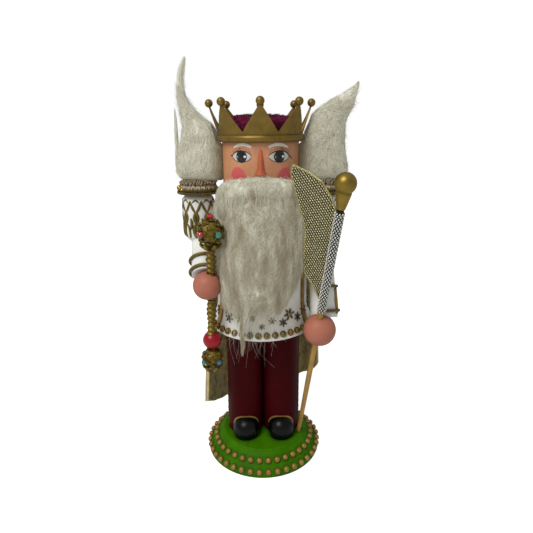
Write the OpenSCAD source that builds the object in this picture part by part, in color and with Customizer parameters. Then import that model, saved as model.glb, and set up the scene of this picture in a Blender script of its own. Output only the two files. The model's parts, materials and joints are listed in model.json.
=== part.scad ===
// King nutcracker: a turned wooden figure on a round plinth, with a lever-driven jaw.
// Origin: centre of the plinth's underside. +Z is up, the figure faces -Y, and +X is the figure's
// own left. "right" and "left" in the names are the figure's own.

/* [Plinth] */
// Radius of the plinth where it meets the floor
base_r = 67.5; // [62:0.5:72]
// Height of the plinth
base_h = 24.5; // [22:0.5:27]
// Radius of the plinth's top face
base_top_r = 50.5; // [49:0.5:53]
// Number of beads in the lower row
lower_beads = 40; // [20:1:44]
// Number of beads in the upper row
upper_beads = 36; // [18:1:38]
// Radius of one bead
bead_r = 2.75; // [1.5:0.05:2.9]

/* [Legs] */
// Radius of one leg
leg_r = 20.9; // [18:0.1:21]
// Distance of each leg's axis from the middle
leg_x = 21.2; // [21.1:0.1:22]
// Radius of one shoe
shoe_r = 15.6; // [13:0.1:16.5]
// Height of the shoe above the plinth
shoe_h = 24; // [20:0.5:30]

/* [Coat] */
// Height of the coat's hem above the floor
hem_z = 164; // [160:1:168]
// Radius of the coat at its hem
hem_r = 58.2; // [56:0.1:58.4]
// Radius of the trunk
trunk_r = 50; // [47:0.5:50]
// Height of the joint between skirt and trunk
waist_z = 200; // [196:1:204]
// Height of the shoulders
shoulder_z = 302; // [300:1:303]
// Number of studs around the hem
hem_studs_n = 40; // [20:1:44]

/* [Head] */
// Radius of the head
head_r = 39.7; // [38:0.1:40]
// Height where the crown sits on the head
crown_z = 364; // [362:1:366]
// Height of the mouth's upper edge
mouth_z = 309.5; // [308:0.5:310]
// Number of crown points
crown_points_n = 8; // [5:1:10]
// Height of the crown balls' centres
crown_ball_z = 401.6; // [395:0.2:405]
// Radius of one crown ball
crown_ball_r = 4.1; // [3:0.1:5]

/* [Jaw lever] */
// Height of the pivot
pivot_z = 288; // [286:0.5:290]
// Distance of the pivot in front of the middle
pivot_y = -6; // [-9:0.5:-4]
// Width of the jaw
jaw_w = 29; // [24:0.5:29]
// Length of the handle down the back
handle_len = 88; // [70:1:90]

/* [Arms] */
// Distance of each shoulder's axis from the middle
arm_x = 67.2; // [67:0.1:69]
// Radius of the upper sleeve
sleeve_r = 16.6; // [14:0.1:16.8]
// Radius of the right hand
hand_right_r = 15; // [14:0.1:15.2]
// Radius of the left hand
hand_left_r = 17.2; // [16:0.1:17.4]
// Radius of an epaulette
epaulette_r = 19.8; // [18:0.1:20.5]

/* [Scepter and staff] */
// Radius of the scepter's filigree head
scepter_head_r = 13.4; // [11:0.1:14]
// Radius of the staff's rod
rod_r = 3; // [2:0.1:3.2]
// Radius of the staff's finial ball
finial_r = 10.2; // [8:0.1:11]
// Radius of the mesh sleeve on the staff
sleeve_tube_r = 4.4; // [4:0.1:5]

/* [Hidden] */

$fn = 64;
hull_fn = 32;            // facets round a ball inside a hull
gap = 0.3;               // air between pieces that only rest near each other
running = 0.07;          // radial clearance of a turning or sliding fit
skin = 1.2;              // thickness of a glued trim

lower_bead = [65.9, 6.8];            // radius and height of the lower row's ring
upper_bead = [57.6, 15.7];
stud_ring = [56.6, 170.3];
stud_r = 2.4;

leg_top = hem_z - 0.05;
shoe_y = -20;
dowel_r = 4;
leg_dowel_len = 30;
head_dowel = [27, 12];

slot_w = jaw_w + 1;
slot_floor = 246;
jaw_bottom = 262;
jaw_back = -20;
pin_r = 1.5;
boss_r = 8;
lever_w = 18;
lever_top = pivot_z - 2;
lever_h = 20;
handle_y = 53;
handle_t = 7;

crown_r = 41.5;          // ring the crown's roll runs on
crown_roll_r = 3.9;
crown_flare = 10.3;      // how far the points lean out
crown_t = 1.8;
crown_low = 368;
crown_tip = 399.5;
crown_notch_z = 374;
crown_ball_ring = 51.9;
rebate_r = crown_r - crown_roll_r - 0.05;

sleeve_low = 262;
elbow_r = 12.2;
elbow_right = [-64.2, -2, sleeve_low];
elbow_left = [63.8, -2, sleeve_low];
wrist_right = [-59.2, -34.5, 231];
wrist_left = [66.6, -34, 181];
cuff_r_right = 14.2;
cuff_r_left = 14.8;
cord_r = 1.6;
hand_right_at = [-56.2, -45.5, 223];
hand_left_at = [60.4, -47, 172.5];
epaulette_z = 311;

scepter_low = [-55, -45, 120];
scepter_top = [-49.8, -50, 299];
scepter_shaft_r = 4.4;
scepter_len = norm(scepter_top - scepter_low);
pommel_s = 21;
pommel_r = 12.6;
ball_s = 42;
ball_r = 9.8;
head_s = scepter_len - 19;
root_roll = 3;
root_y = -head_r - 0.6 - root_roll;
root_z = 296;
root_half = 12;
// Tufts that the beard's outline passes round: x, y, z, radius.
beard_side_tufts = [[29, -44, 298, 10], [27, -50, 262, 11.5], [19, -60, 214, 10]];
beard_end_tufts = [[-13, -66, 163, 4.4], [3, -66, 170, 4.4]];
gem_play = 0.05;
top_stone_r = 3.4;
side_stone_r = 3;
low_stone_r = 2.5;
stone_turns = [100, 170];
lobe_depth = 1.4;
groove_lift = 0.15;

staff_foot = [42.3, -16.4, base_h + 0.6];
staff_aim = [0.106, -0.224, 1];
staff_len = 314.7 - finial_r;
collar_low = 290.5;
sleeve_start = 177;
rod_taper_len = 80;
pennant_turn = 205;

// Points on an arc about c, from angle a0 to a1.
function arc(c, r, a0, a1, n = 12) =
    [for (i = [0:n]) c + r * [cos(a0 + (a1 - a0) * i / n), sin(a0 + (a1 - a0) * i / n)]];

// Places children with their +Z from p along direction d.
module along(p, d) {
    translate(p) rotate([0, acos(d[2] / norm(d)), atan2(d[1], d[0])]) children();
}

module ring(r, tube) {
    rotate_extrude() translate([r, 0]) circle(tube);
}

// Spheres spaced around a ring, [radius, height].
module bead_row(n, place, r) {
    for (i = [0:n - 1]) rotate([0, 0, (i + 0.5) * 360 / n - 90]) translate([place[0], 0, place[1]]) sphere(r);
}

module leg_solid(side, r = leg_r) {
    translate([side * leg_x, 0, base_h]) cylinder(r = r, h = leg_top - base_h);
}

// A round-toed shoe, seen as a bun that the leg cuts at the back.
module shoe_solid(side, grow = 0) {
    translate([side * (leg_x - 0.4), shoe_y, base_h]) rotate_extrude()
        polygon(concat([[0, 0], [shoe_r + grow - 2, 0]],
            arc([shoe_r + grow - 8.5, 8.5], 8.5, -40, 20, 6),
            arc([shoe_r + grow - 14.6, shoe_h + grow - 14], 14, 20, 90, 10), [[0, shoe_h + grow]]));
}

// Outline of the coat's outer face, from the hem up to the shoulders.
function coat_outline(grow = 0) = concat(
    [[hem_r + grow, hem_z + 1.2], [hem_r + grow - 0.4, hem_z + 3], [stud_ring[0] + grow - 0.6, stud_ring[1]]],
    [for (t = [0.1:0.1:1]) [trunk_r + grow + (stud_ring[0] - 0.6 - trunk_r) * pow(1 - t, 2),
        stud_ring[1] + (waist_z - stud_ring[1]) * t]]);

module base_plinth() {
    color("#3c8c0a") rotate_extrude()
        polygon(concat(
            [[0, 0], [base_r - 1, 0], [base_r, 1], [base_r, 4], [61.5, 11], [59.5, 12.6], [54, 19.4]],
            arc([base_top_r - 3.2, base_h - 3.2], 3.2, 20, 90, 6),
            [[0, base_h]]));
}

module base_beads_lower() {
    color("#96733f") bead_row(lower_beads, lower_bead, bead_r);
}

module base_beads_upper() {
    color("#96733f") bead_row(upper_beads, upper_bead, bead_r);
}

module leg(side) {
    color("#4a0a16") difference() {
        leg_solid(side);
        leg_dowel_hole(side);
    }
}

module leg_dowel_hole(side) {
    translate([side * leg_x, 0, leg_top - leg_dowel_len / 2]) cylinder(r = dowel_r, h = leg_dowel_len);
}

module leg_right() { leg(-1); }
module leg_left() { leg(1); }

module leg_dowels() {
    color("tan") for (side = [-1, 1]) leg_dowel_hole(side);
}

module shoe(side) {
    color("#0a0a0c") difference() {
        shoe_solid(side);
        leg_solid(side);
        translate([-0.1, -60, 0]) cube([0.2, 60, 80]);
    }
}

module shoe_right() { shoe(-1); }
module shoe_left() { shoe(1); }

// Thin gold cord lying where the shoe's top meets the trouser leg.
module shoe_piping() {
    color("#a08246") for (side = [-1, 1]) difference() {
        intersection() {
            shoe_solid(side, 1.1);
            leg_solid(side, leg_r + 1.1);
            translate([side * leg_x - 16, -leg_r - 4, base_h + 12]) cube([32, 26, 30]);
        }
        leg_solid(side);
        shoe_solid(side, 0.01);
    }
}

// A flat braid up the outer side of a trouser leg.
module trouser_braid(side) {
    color("#6e5f1c") difference() {
        intersection() {
            leg_solid(side, leg_r + skin);
            translate([side * (leg_x + leg_r + 1) - 4, -5, base_h + 0.5])
                cube([8, 5, leg_top - base_h - 1]);
        }
        leg_solid(side);
    }
}

module trouser_braid_right() { trouser_braid(-1); }
module trouser_braid_left() { trouser_braid(1); }

module coat_skirt() {
    color("#c8c8be") difference() {
        rotate_extrude()
            polygon(concat([[0, hem_z], [hem_r - 1.2, hem_z]], coat_outline(), [[0, waist_z]]));
        for (side = [-1, 1]) leg_dowel_hole(side);
        trunk_dowel_hole();
    }
}

module hem_studs() {
    color("#8c7328") bead_row(hem_studs_n, stud_ring, stud_r);
}

module trunk_dowel_hole() {
    translate([0, 0, waist_z - 15]) cylinder(r = 8, h = 40);
}

module trunk_dowel() {
    color("tan") trunk_dowel_hole();
}

module head_dowel_holes() {
    for (side = [-1, 1]) translate([side * head_dowel[0], head_dowel[1], shoulder_z - 14])
        cylinder(r = dowel_r, h = 28);
}

module head_dowels() {
    color("tan") head_dowel_holes();
}

module shoulder_dowel_hole(side) {
    translate([side * 40, 8, 282]) rotate([0, side * 90, 0]) cylinder(r = 5, h = 24);
}

module shoulder_dowels() {
    color("tan") for (side = [-1, 1]) shoulder_dowel_hole(side);
}

module pin_hole(r, h) {
    translate([-h / 2, pivot_y, pivot_z]) rotate([0, 90, 0]) cylinder(r = r, h = h);
}

module pivot_pin() {
    color("silver") pin_hole(pin_r, 92);
}

// The trunk, slotted from front to back for the jaw and its lever.
module trunk() {
    color("#c8c8be") difference() {
        rotate_extrude()
            polygon(concat([[0, waist_z + 0.02], [trunk_r, waist_z + 0.02], [trunk_r, 284]],
                arc([trunk_r - 8, 292], 8, 0, 60, 6),
                [[head_r, shoulder_z - 0.02], [0, shoulder_z - 0.02]]));
        translate([-slot_w / 2, -trunk_r - 1, slot_floor]) cube([slot_w, trunk_r + 21, 80]);
        translate([-slot_w / 2, 10, lever_top - lever_h - 8]) cube([slot_w, trunk_r, 80]);
        pin_hole(pin_r, 120);
        trunk_dowel_hole();
        head_dowel_holes();
        for (side = [-1, 1]) shoulder_dowel_hole(side);
    }
}

// Two gilt bands down the coat's front, one beside each edge of the beard.
module coat_bands() {
    band_turn = 6;
    band_top = 282;
    outer = concat([for (i = [3:12]) coat_outline(skin)[i]], [[trunk_r + skin, band_top]]);
    inner = concat([[trunk_r + 0.01, band_top]], [for (i = [12:-1:3]) coat_outline(0.01)[i]]);
    color("#8c7328") for (a = [207, 327]) rotate([0, 0, a]) rotate_extrude(angle = band_turn)
        polygon(concat(outer, inner));
}

// The head block, with the mouth cut into its lower front.
module head() {
    color("#c88c69") difference() {
        union() {
            translate([0, 0, shoulder_z]) cylinder(r = head_r, h = crown_z - shoulder_z);
            translate([0, 0, crown_z]) cylinder(r = rebate_r, h = 7.9);
        }
        translate([-slot_w / 2, -head_r - 1, shoulder_z - 1]) cube([slot_w, 25, mouth_z - shoulder_z + 1]);
        head_dowel_holes();
    }
}

module nose() {
    color("#cd6e50") difference() {
        hull() {
            translate([0, -head_r + 1, 357]) sphere(2.2, $fn = hull_fn);
            translate([0, -head_r - 1.4, 346]) sphere(3.4, $fn = hull_fn);
            translate([0, -head_r - 6, 336]) sphere(4.2, $fn = hull_fn);
        }
        translate([0, 0, shoulder_z]) cylinder(r = head_r, h = 80);
    }
}

// Jaw, lever and handle in one board, bored for the pivot pin.
module jaw_lever() {
    color("#c8a27a") difference() {
        union() {
            intersection() {
                translate([-jaw_w / 2, -head_r, jaw_bottom])
                    cube([jaw_w, head_r + jaw_back, mouth_z - gap - jaw_bottom]);
                cylinder(r = head_r, h = 400);
            }
            translate([-lever_w / 2, jaw_back - 1, lever_top - lever_h])
                cube([lever_w, handle_y - jaw_back + 2, lever_h]);
            translate([-lever_w / 2, pivot_y, pivot_z]) rotate([0, 90, 0]) cylinder(r = boss_r, h = lever_w);
            translate([-lever_w / 2, handle_y, lever_top - handle_len])
                cube([lever_w, handle_t, handle_len]);
            translate([-lever_w / 2, handle_y + handle_t / 2, lever_top - handle_len]) rotate([0, 90, 0])
                cylinder(r = handle_t / 2 + 1.5, h = lever_w);
        }
        pin_hole(pin_r + running, 60);
    }
}

// Crown: a rolled rim and a flared wall cut into points.
module crown() {
    spread = 180 / crown_points_n;
    open_half = crown_ball_ring * tan(spread) - 1.6;
    color("#786432") union() {
        translate([0, 0, crown_low]) ring(crown_r, crown_roll_r);
        difference() {
            rotate_extrude() polygon([[crown_r - 1, crown_low], [crown_r - 1 + crown_t, crown_low],
                [crown_r - 1 + crown_t + crown_flare, crown_tip], [crown_r - 1 + crown_flare, crown_tip]]);
            for (i = [0:crown_points_n - 1]) rotate([0, 0, (i + 0.5) * 2 * spread - 90])
                translate([30, 0, 0]) rotate([90, 0, 90]) linear_extrude(40)
                    polygon([[0, crown_notch_z], [open_half, crown_tip + 0.1], [-open_half, crown_tip + 0.1]]);
        }
    }
}

module crown_balls() {
    color("#786432") for (i = [0:crown_points_n - 1]) rotate([0, 0, i * 360 / crown_points_n - 90])
        translate([crown_ball_ring, 0, crown_ball_z]) sphere(crown_ball_r);
}

module velvet_cap() {
    cap_r = crown_r - 2.3;
    color("#6e0f3c") translate([0, 0, crown_z + 8]) rotate_extrude()
        polygon(concat([[0, 0], [cap_r - 2.6, 0]], arc([cap_r - 12, 7.4], 12, 0, 90, 10), [[0, 19.4]]));
}

// Room kept around the head, rim and crown points for the wool.
module head_room() {
    translate([0, 0, 290]) cylinder(r = head_r + gap, h = 100);
    translate([0, 0, crown_z - 2]) cylinder(r1 = crown_r + crown_roll_r + 1, r2 = 57.5, h = 46);
}

module wool_ball(p, r) {
    translate(p) sphere(r, $fn = hull_fn);
}

module hair_right() {
    color("#c8c3b4") difference() {
        union() {
            hull() {
                wool_ball([-58, 6, 345], 20);
                wool_ball([-68, 6, 348], 20);
                wool_ball([-76, 4, 372], 9);
            }
            hull() {
                wool_ball([-77, 4, 366], 9);
                wool_ball([-74, 5, 420], 4.6);
                wool_ball([-73.5, 5, 444], 1.6);
            }
        }
        head_room();
    }
}

module hair_left() {
    color("#c8c3b4") difference() {
        union() {
            hull() {
                wool_ball([58, 6, 345], 20);
                wool_ball([68, 6, 348], 20);
                wool_ball([70, 5, 374], 14);
            }
            hull() {
                wool_ball([75, 5, 376], 11);
                wool_ball([92, 3, 408], 5);
                wool_ball([98, 1, 420], 1.6);
            }
        }
        head_room();
    }
}

module hair_back() {
    color("#c8c3b4") difference() {
        hull() for (x = [-26, 26]) {
            wool_ball([x, 36, 352], 15);
            wool_ball([x * 0.8, 38, 338], 15);
        }
        head_room();
    }
}

module moustache() {
    color("#c8c3b4") difference() {
        hull() for (side = [-1, 1]) {
            wool_ball([side * 9, -42.5, 320.2], 9.4);
            wool_ball([side * 27, -33, 316.4], 6.2);
        }
        translate([0, 0, 290]) cylinder(r = head_r + 0.02, h = 100);
        translate([-5, -60, 329.8]) cube([10, 30, 10]);
    }
}

// Beard of wool on a root that ends in a roll beside the jaw's face, where it bends.
module beard() {
    color("#c8c3b4") union() {
        difference() {
            hull() {
                for (side = [-1, 1]) for (tuft = beard_side_tufts)
                    wool_ball([side * tuft[0], tuft[1], tuft[2]], tuft[3]);
                for (tuft = beard_end_tufts) wool_ball([tuft[0], tuft[1], tuft[2]], tuft[3]);
            }
            translate([0, 0, 225]) cylinder(r = trunk_r + 1.6, h = 100);
            translate([0, 0, 140]) cylinder(r = hem_r + 3.4, h = 85.1);
            translate([-80, -90, mouth_z - 0.8]) cube([160, 90, 20]);
            translate([-52.5, -48.5, 190]) cylinder(r = 19.5, h = 120);
        }
        translate([-root_half, -55, root_z - 20]) cube([2 * root_half, 55 + root_y, 19]);
        translate([-root_half, root_y, root_z]) rotate([0, 90, 0])
            cylinder(r = root_roll, h = 2 * root_half);
    }
}

// A turned sleeve that hangs from the shoulder, and a forearm that widens to the cuff.
module arm(side, elbow, wrist, cuff, hand_at, hand_r) {
    forearm = wrist - elbow;
    color("#d2d2c8") difference() {
        union() {
            translate([side * arm_x, 0, 0]) rotate_extrude()
                polygon(concat([[0, sleeve_low - 4]],
                    arc([sleeve_r - 14, sleeve_low + 10], 14, -72, 0, 8),
                    arc([sleeve_r - 6, epaulette_z - 6.6], 6, 0, 90, 6), [[0, epaulette_z - 0.6]]));
            translate(elbow) sphere(elbow_r + 0.5);
            along(elbow, forearm) cylinder(r1 = elbow_r, r2 = cuff, h = norm(forearm));
        }
        translate(hand_at) sphere(hand_r);
        shoulder_dowel_hole(side);
    }
}

module arm_right() {
    arm(-1, elbow_right, wrist_right, cuff_r_right, hand_right_at, hand_right_r);
}

module arm_left() {
    arm(1, elbow_left, wrist_left, cuff_r_left, hand_left_at, hand_left_r);
}

// Gilt cords round a cuff, left open where the sleeve lies against the coat.
module cuff_cords(elbow, wrist, cuff, coat_side) {
    forearm = wrist - elbow;
    color("#8c7328") along(elbow, forearm) rotate([0, 0, coat_side + 55]) for (part = [0.62, 0.92])
        translate([0, 0, part * norm(forearm)]) rotate_extrude(angle = 250)
            translate([elbow_r + (cuff - elbow_r) * part + cord_r + 0.15, 0]) circle(cord_r);
}

module cuff_cords_right() {
    cuff_cords(elbow_right, wrist_right, cuff_r_right, 90);
}

module cuff_cords_left() {
    cuff_cords(elbow_left, wrist_left, cuff_r_left, 270);
}

module epaulette(side) {
    color("#b4aaa0") translate([side * (arm_x - 0.6), 0, epaulette_z]) rotate_extrude()
        polygon(concat([[0, 0], [epaulette_r, 0], [epaulette_r, 4]],
            arc([epaulette_r - 6, 4], 6, 10, 75, 6), [[0, 11.2]]));
}

module epaulette_right() { epaulette(-1); }
module epaulette_left() { epaulette(1); }

module epaulette_cord(side) {
    color("#8c7328") translate([side * (arm_x - 0.6), 0, epaulette_z + 2]) difference() {
        ring(epaulette_r + cord_r - 0.4, cord_r + 0.2);
        cylinder(r = epaulette_r, h = 20, center = true);
    }
}

module epaulette_cord_right() { epaulette_cord(-1); }
module epaulette_cord_left() { epaulette_cord(1); }

module hand_right() {
    color("#c88273") difference() {
        translate(hand_right_at) sphere(hand_right_r);
        along(scepter_low, scepter_top - scepter_low) cylinder(r = scepter_shaft_r, h = scepter_len);
    }
}

module hand_left() {
    color("#c88273") difference() {
        translate(hand_left_at) sphere(hand_left_r);
        along(staff_foot, staff_aim) cylinder(r = rod_r + running, h = staff_len);
    }
}

module in_scepter() {
    along(scepter_low, scepter_top - scepter_low) children();
}

// Shaft with turned rings above and below the hand.
module scepter_shaft() {
    color("#6e5f1c") in_scepter() union() {
        translate([0, 0, ball_s]) cylinder(r = scepter_shaft_r, h = head_s - ball_s);
        for (s = [54:5.5:80]) translate([0, 0, s]) ring(scepter_shaft_r - 0.3, 1.3);
        for (s = [122:5.5:142]) translate([0, 0, s]) ring(scepter_shaft_r - 0.3, 1.3);
    }
}

// A filigree ball, lobed in bands, with a collar below it.
module scepter_head() {
    color("#6e5f1c") in_scepter() difference() {
        union() {
            translate([0, 0, head_s]) lobed_ball(scepter_head_r, 7);
            translate([0, 0, head_s - scepter_head_r - 0.5]) ring(5.6, 3);
        }
        translate([0, 0, ball_s]) cylinder(r = scepter_shaft_r, h = head_s - ball_s);
        head_stones(gem_play);
    }
}

// A turned ball whose outline swells in bands.
module lobed_ball(r, bands) {
    steps = bands * 6;
    rotate_extrude() polygon(concat([[0, -r + 1]],
        [for (i = [1:steps - 1]) let (a = -90 + 180 * i / steps)
            (r - lobe_depth / 2 * (1 - cos(360 * bands * i / steps + 180))) * [cos(a), sin(a)]],
        [[0, r - 1]]));
}

module scepter_ball() {
    color("#aa0f23") in_scepter() difference() {
        translate([0, 0, ball_s]) sphere(ball_r);
        translate([0, 0, ball_s]) cylinder(r = scepter_shaft_r, h = 40);
        translate([0, 0, pommel_s]) sphere(pommel_r + 0.02);
    }
}

module scepter_pommel() {
    color("#6e5f1c") in_scepter() {
        translate([0, 0, pommel_s]) lobed_ball(pommel_r, 6);
        translate([0, 0, pommel_s - pommel_r]) ring(4.6, 3);
    }
}

// The three stones on the scepter's head, or their seats with some play.
module head_stones(play = 0) {
    translate([0, 0, head_s + scepter_head_r + 0.2]) sphere(top_stone_r + play);
    for (a = stone_turns) translate([0, 0, head_s]) rotate([0, 0, a + 90])
        translate([0, scepter_head_r, 0]) sphere(side_stone_r + play);
}

// The two stones on the pommel lie in its middle groove.
module pommel_stones() {
    for (a = stone_turns) translate([0, 0, pommel_s]) rotate([0, 0, a + 90])
        translate([0, pommel_r - lobe_depth + low_stone_r + groove_lift, 0]) sphere(low_stone_r);
}

module scepter_gems() {
    color("#be1e32") in_scepter() {
        head_stones();
        pommel_stones();
    }
}

module in_staff() {
    along(staff_foot, staff_aim) children();
}

module staff_rod() {
    color("#aa823c") in_staff() union() {
        cylinder(r1 = rod_r - 0.75, r2 = rod_r, h = rod_taper_len);
        translate([0, 0, rod_taper_len]) cylinder(r = rod_r, h = staff_len - rod_taper_len + 2);
    }
}

module staff_sleeve() {
    color("silver") in_staff() translate([0, 0, sleeve_start]) difference() {
        cylinder(r = sleeve_tube_r, h = collar_low - sleeve_start);
        translate([0, 0, -1]) cylinder(r = rod_r, h = 200);
    }
}

module staff_collar() {
    color("#8c7328") in_staff() rotate_extrude()
        polygon([[rod_r, collar_low], [4.2, collar_low], [5.4, collar_low + 5], [7.5, staff_len + 1.4],
            [7, staff_len + 3.2], [rod_r, staff_len - 0.4]]);
}

module staff_finial() {
    color("#8c7328") in_staff() difference() {
        translate([0, 0, staff_len + finial_r]) sphere(finial_r);
        cylinder(r = rod_r, h = staff_len + 2);
        rotate_extrude() polygon([[rod_r, collar_low], [7.5, staff_len + 1.4],
            [7, staff_len + 3.2], [rod_r, staff_len - 0.4]]);
    }
}

// Flat pennant of mesh, sewn to the sleeve along one edge.
module pennant() {
    edge = sleeve_tube_r;
    color("#96966e") in_staff() rotate([0, 0, pennant_turn]) rotate([90, 0, 0])
        translate([0, 0, -0.6]) linear_extrude(1.2)
            polygon([[edge, 189], [15, 202], [26, 210], [30, 225], [34, 255], [50, 288], [59.5, 309],
                [58, 316], [41, 314], [24, 309], [12, 298], [edge, 286]]);
}

// Cape hung from the shoulders, with a vent at the back for the lever.
module cape() {
    cape_t = 2;
    top_c = [0, 2.6, 316];
    low_c = [5.9, 23.1, 12];
    top_r = 53.6;
    low_r = 80;
    hem_c = [0, 0, 80];
    hem_turn = [-29.7, -18.3, 0];
    module cone_of(cut) {
        hull() {
            translate(top_c) cylinder(r = top_r - cut, h = 0.2);
            translate(low_c - [0, 0, 0.1]) cylinder(r = low_r - cut, h = 0.2);
        }
    }
    color("#826e32") difference() {
        cone_of(0);
        translate([0, 0, -0.3]) cone_of(cape_t);
        translate([0, 0, 315]) cylinder(r = 80, h = 10);
        translate([-100, 0, 0]) rotate([90, 0, 90]) linear_extrude(100)
            polygon([[-80, 30], [3, 30], [3, 150], [22, 215], [22, 320], [-80, 320]]);
        rotate([90, 0, 90]) linear_extrude(100)
            polygon([[-80, 30], [58, 30], [22, 200], [22, 320], [-80, 320]]);
        translate([-13, 30, 0]) cube([26, 90, 307.5]);
        translate(hem_c) rotate(hem_turn) translate([-130, -130, -120]) cube([260, 260, 120]);
    }
}

base_plinth();
base_beads_lower();
base_beads_upper();
leg_right();
leg_left();
shoe_right();
shoe_left();
shoe_piping();
trouser_braid_right();
trouser_braid_left();
leg_dowels();
coat_skirt();
hem_studs();
trunk();
coat_bands();
trunk_dowel();
head();
nose();
head_dowels();
pivot_pin();
jaw_lever();
crown();
crown_balls();
velvet_cap();
hair_right();
hair_left();
hair_back();
moustache();
beard();
arm_right();
arm_left();
shoulder_dowels();
cuff_cords_right();
cuff_cords_left();
epaulette_right();
epaulette_left();
epaulette_cord_right();
epaulette_cord_left();
hand_right();
hand_left();
scepter_shaft();
scepter_head();
scepter_ball();
scepter_pommel();
scepter_gems();
staff_rod();
staff_sleeve();
staff_collar();
staff_finial();
pennant();
cape();
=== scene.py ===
"""The looks of a king nutcracker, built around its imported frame.

Lengths are in millimetres in this script and become metres where a mesh is made. The figure faces
-Y and stands on Z = 0, as in the frame. "right" and "left" are the figure's own sides.
"""
import json
import math

import bpy
import numpy as np
from mathutils import Matrix, Vector, noise
from mathutils.bvhtree import BVHTree


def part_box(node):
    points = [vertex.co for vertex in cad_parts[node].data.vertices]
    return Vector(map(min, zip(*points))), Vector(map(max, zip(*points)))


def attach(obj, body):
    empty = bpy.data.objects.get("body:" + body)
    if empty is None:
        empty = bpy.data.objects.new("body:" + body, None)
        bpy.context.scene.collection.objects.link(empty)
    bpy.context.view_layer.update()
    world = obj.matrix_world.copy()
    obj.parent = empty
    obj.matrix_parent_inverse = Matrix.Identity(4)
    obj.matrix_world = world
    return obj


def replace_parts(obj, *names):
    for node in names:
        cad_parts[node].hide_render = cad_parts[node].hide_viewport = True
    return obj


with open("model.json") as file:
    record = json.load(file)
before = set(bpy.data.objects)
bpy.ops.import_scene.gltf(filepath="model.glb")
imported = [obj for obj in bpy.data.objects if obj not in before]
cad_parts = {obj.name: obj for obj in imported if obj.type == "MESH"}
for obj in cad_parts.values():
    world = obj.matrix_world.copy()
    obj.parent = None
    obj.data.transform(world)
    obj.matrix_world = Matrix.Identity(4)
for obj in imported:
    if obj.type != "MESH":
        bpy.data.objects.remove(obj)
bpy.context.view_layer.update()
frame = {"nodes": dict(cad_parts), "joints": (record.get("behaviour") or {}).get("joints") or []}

MM = 0.001
UP = np.array((0.0, 0.0, 1.0))
SIDE_OF = {"right": -1, "left": 1}
rng = np.random.default_rng(7)


# ---------------------------------------------------------------- places read from the frame

def box(node):
    """Lowest and highest corner of a CAD node, in millimetres."""
    low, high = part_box(node)
    return np.array(low) / MM, np.array(high) / MM


def middle(node):
    low, high = box(node)
    return (low + high) / 2


def cad_points(node):
    """Every vertex of a CAD node, in millimetres."""
    mesh = frame["nodes"][node].data
    points = np.zeros(len(mesh.vertices) * 3)
    mesh.vertices.foreach_get("co", points)
    return points.reshape(-1, 3) / MM


def cad_surface(*nodes):
    """A tree that rays can be cast against, made of whole CAD nodes, in millimetres."""
    points, faces, start = [], [], 0
    for node in nodes:
        mesh = frame["nodes"][node].data
        points.extend(v.co / MM for v in mesh.vertices)
        faces.extend([i + start for i in face.vertices] for face in mesh.polygons)
        start += len(mesh.vertices)
    return BVHTree.FromPolygons(points, faces)


HEAD_R = (box("head")[1] - box("head")[0])[0] / 2
RIM_LOW = box("crown")[0][2]
TRUNK_R = (box("trunk")[1] - box("trunk")[0])[0] / 2
HEM_LOW = box("coat_skirt")[0][2]
WAIST = box("trunk")[0][2]


# ---------------------------------------------------------------- meshes

def unit(vectors):
    return vectors / np.maximum(np.linalg.norm(vectors, axis=-1, keepdims=True), 1e-9)


def around(columns):
    """Evenly spaced angles round a full turn."""
    return np.arange(columns) * 2 * np.pi / columns


def grid(values, columns):
    """Each value against each angle round a full turn."""
    return np.meshgrid(values, around(columns), indexing="ij")


def lumps(points, *waves):
    """Smooth noise at each point: the sum of waves, each a height and a scale (a number or xyz)."""
    heights = [sum(height * noise.noise(Vector(v * scale)) for height, scale in waves)
               for v in points.reshape(-1, 3)]
    return np.array(heights).reshape(points.shape[:-1])


def spline(rows, t):
    """Smooth values through evenly spaced rows, at t from 0 to 1 (Catmull-Rom)."""
    rows = np.asarray(rows, float)
    last = len(rows) - 1
    place = np.clip(np.asarray(t, float), 0, 1) * last
    i = np.minimum(place.astype(int), last - 1)
    f = (place - i)[..., None]
    p0, p1, p2, p3 = (rows[np.clip(i + k, 0, last)] for k in (-1, 0, 1, 2))
    return 0.5 * (2 * p1 + (p2 - p0) * f + (2 * p0 - 5 * p1 + 4 * p2 - p3) * f * f
                  + (3 * p1 - p0 - 3 * p2 + p3) * f ** 3)


def grid_faces(rows, columns, wrap=False):
    """Quads over rows x columns points; wrap joins the last column to the first."""
    r, c = np.meshgrid(np.arange(rows - 1), np.arange(columns if wrap else columns - 1), indexing="ij")
    nxt = (c + 1) % columns
    here, above = r * columns, (r + 1) * columns
    return np.stack((here + c, here + nxt, above + nxt, above + c), -1).reshape(-1, 4)


def closed_loft(rings):
    """A closed surface through rings (row, column, xyz), ended by a point at each end."""
    rows, columns, _ = rings.shape
    points = np.concatenate((rings.reshape(-1, 3), [rings[0].mean(0)], [rings[-1].mean(0)]))
    c = np.arange(columns)
    first = np.stack((np.full(columns, rows * columns), (c + 1) % columns, c), -1)
    top = (rows - 1) * columns
    last = np.stack((np.full(columns, rows * columns + 1), top + c, top + (c + 1) % columns), -1)
    return points, [grid_faces(rows, columns, wrap=True), first, last]


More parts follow.
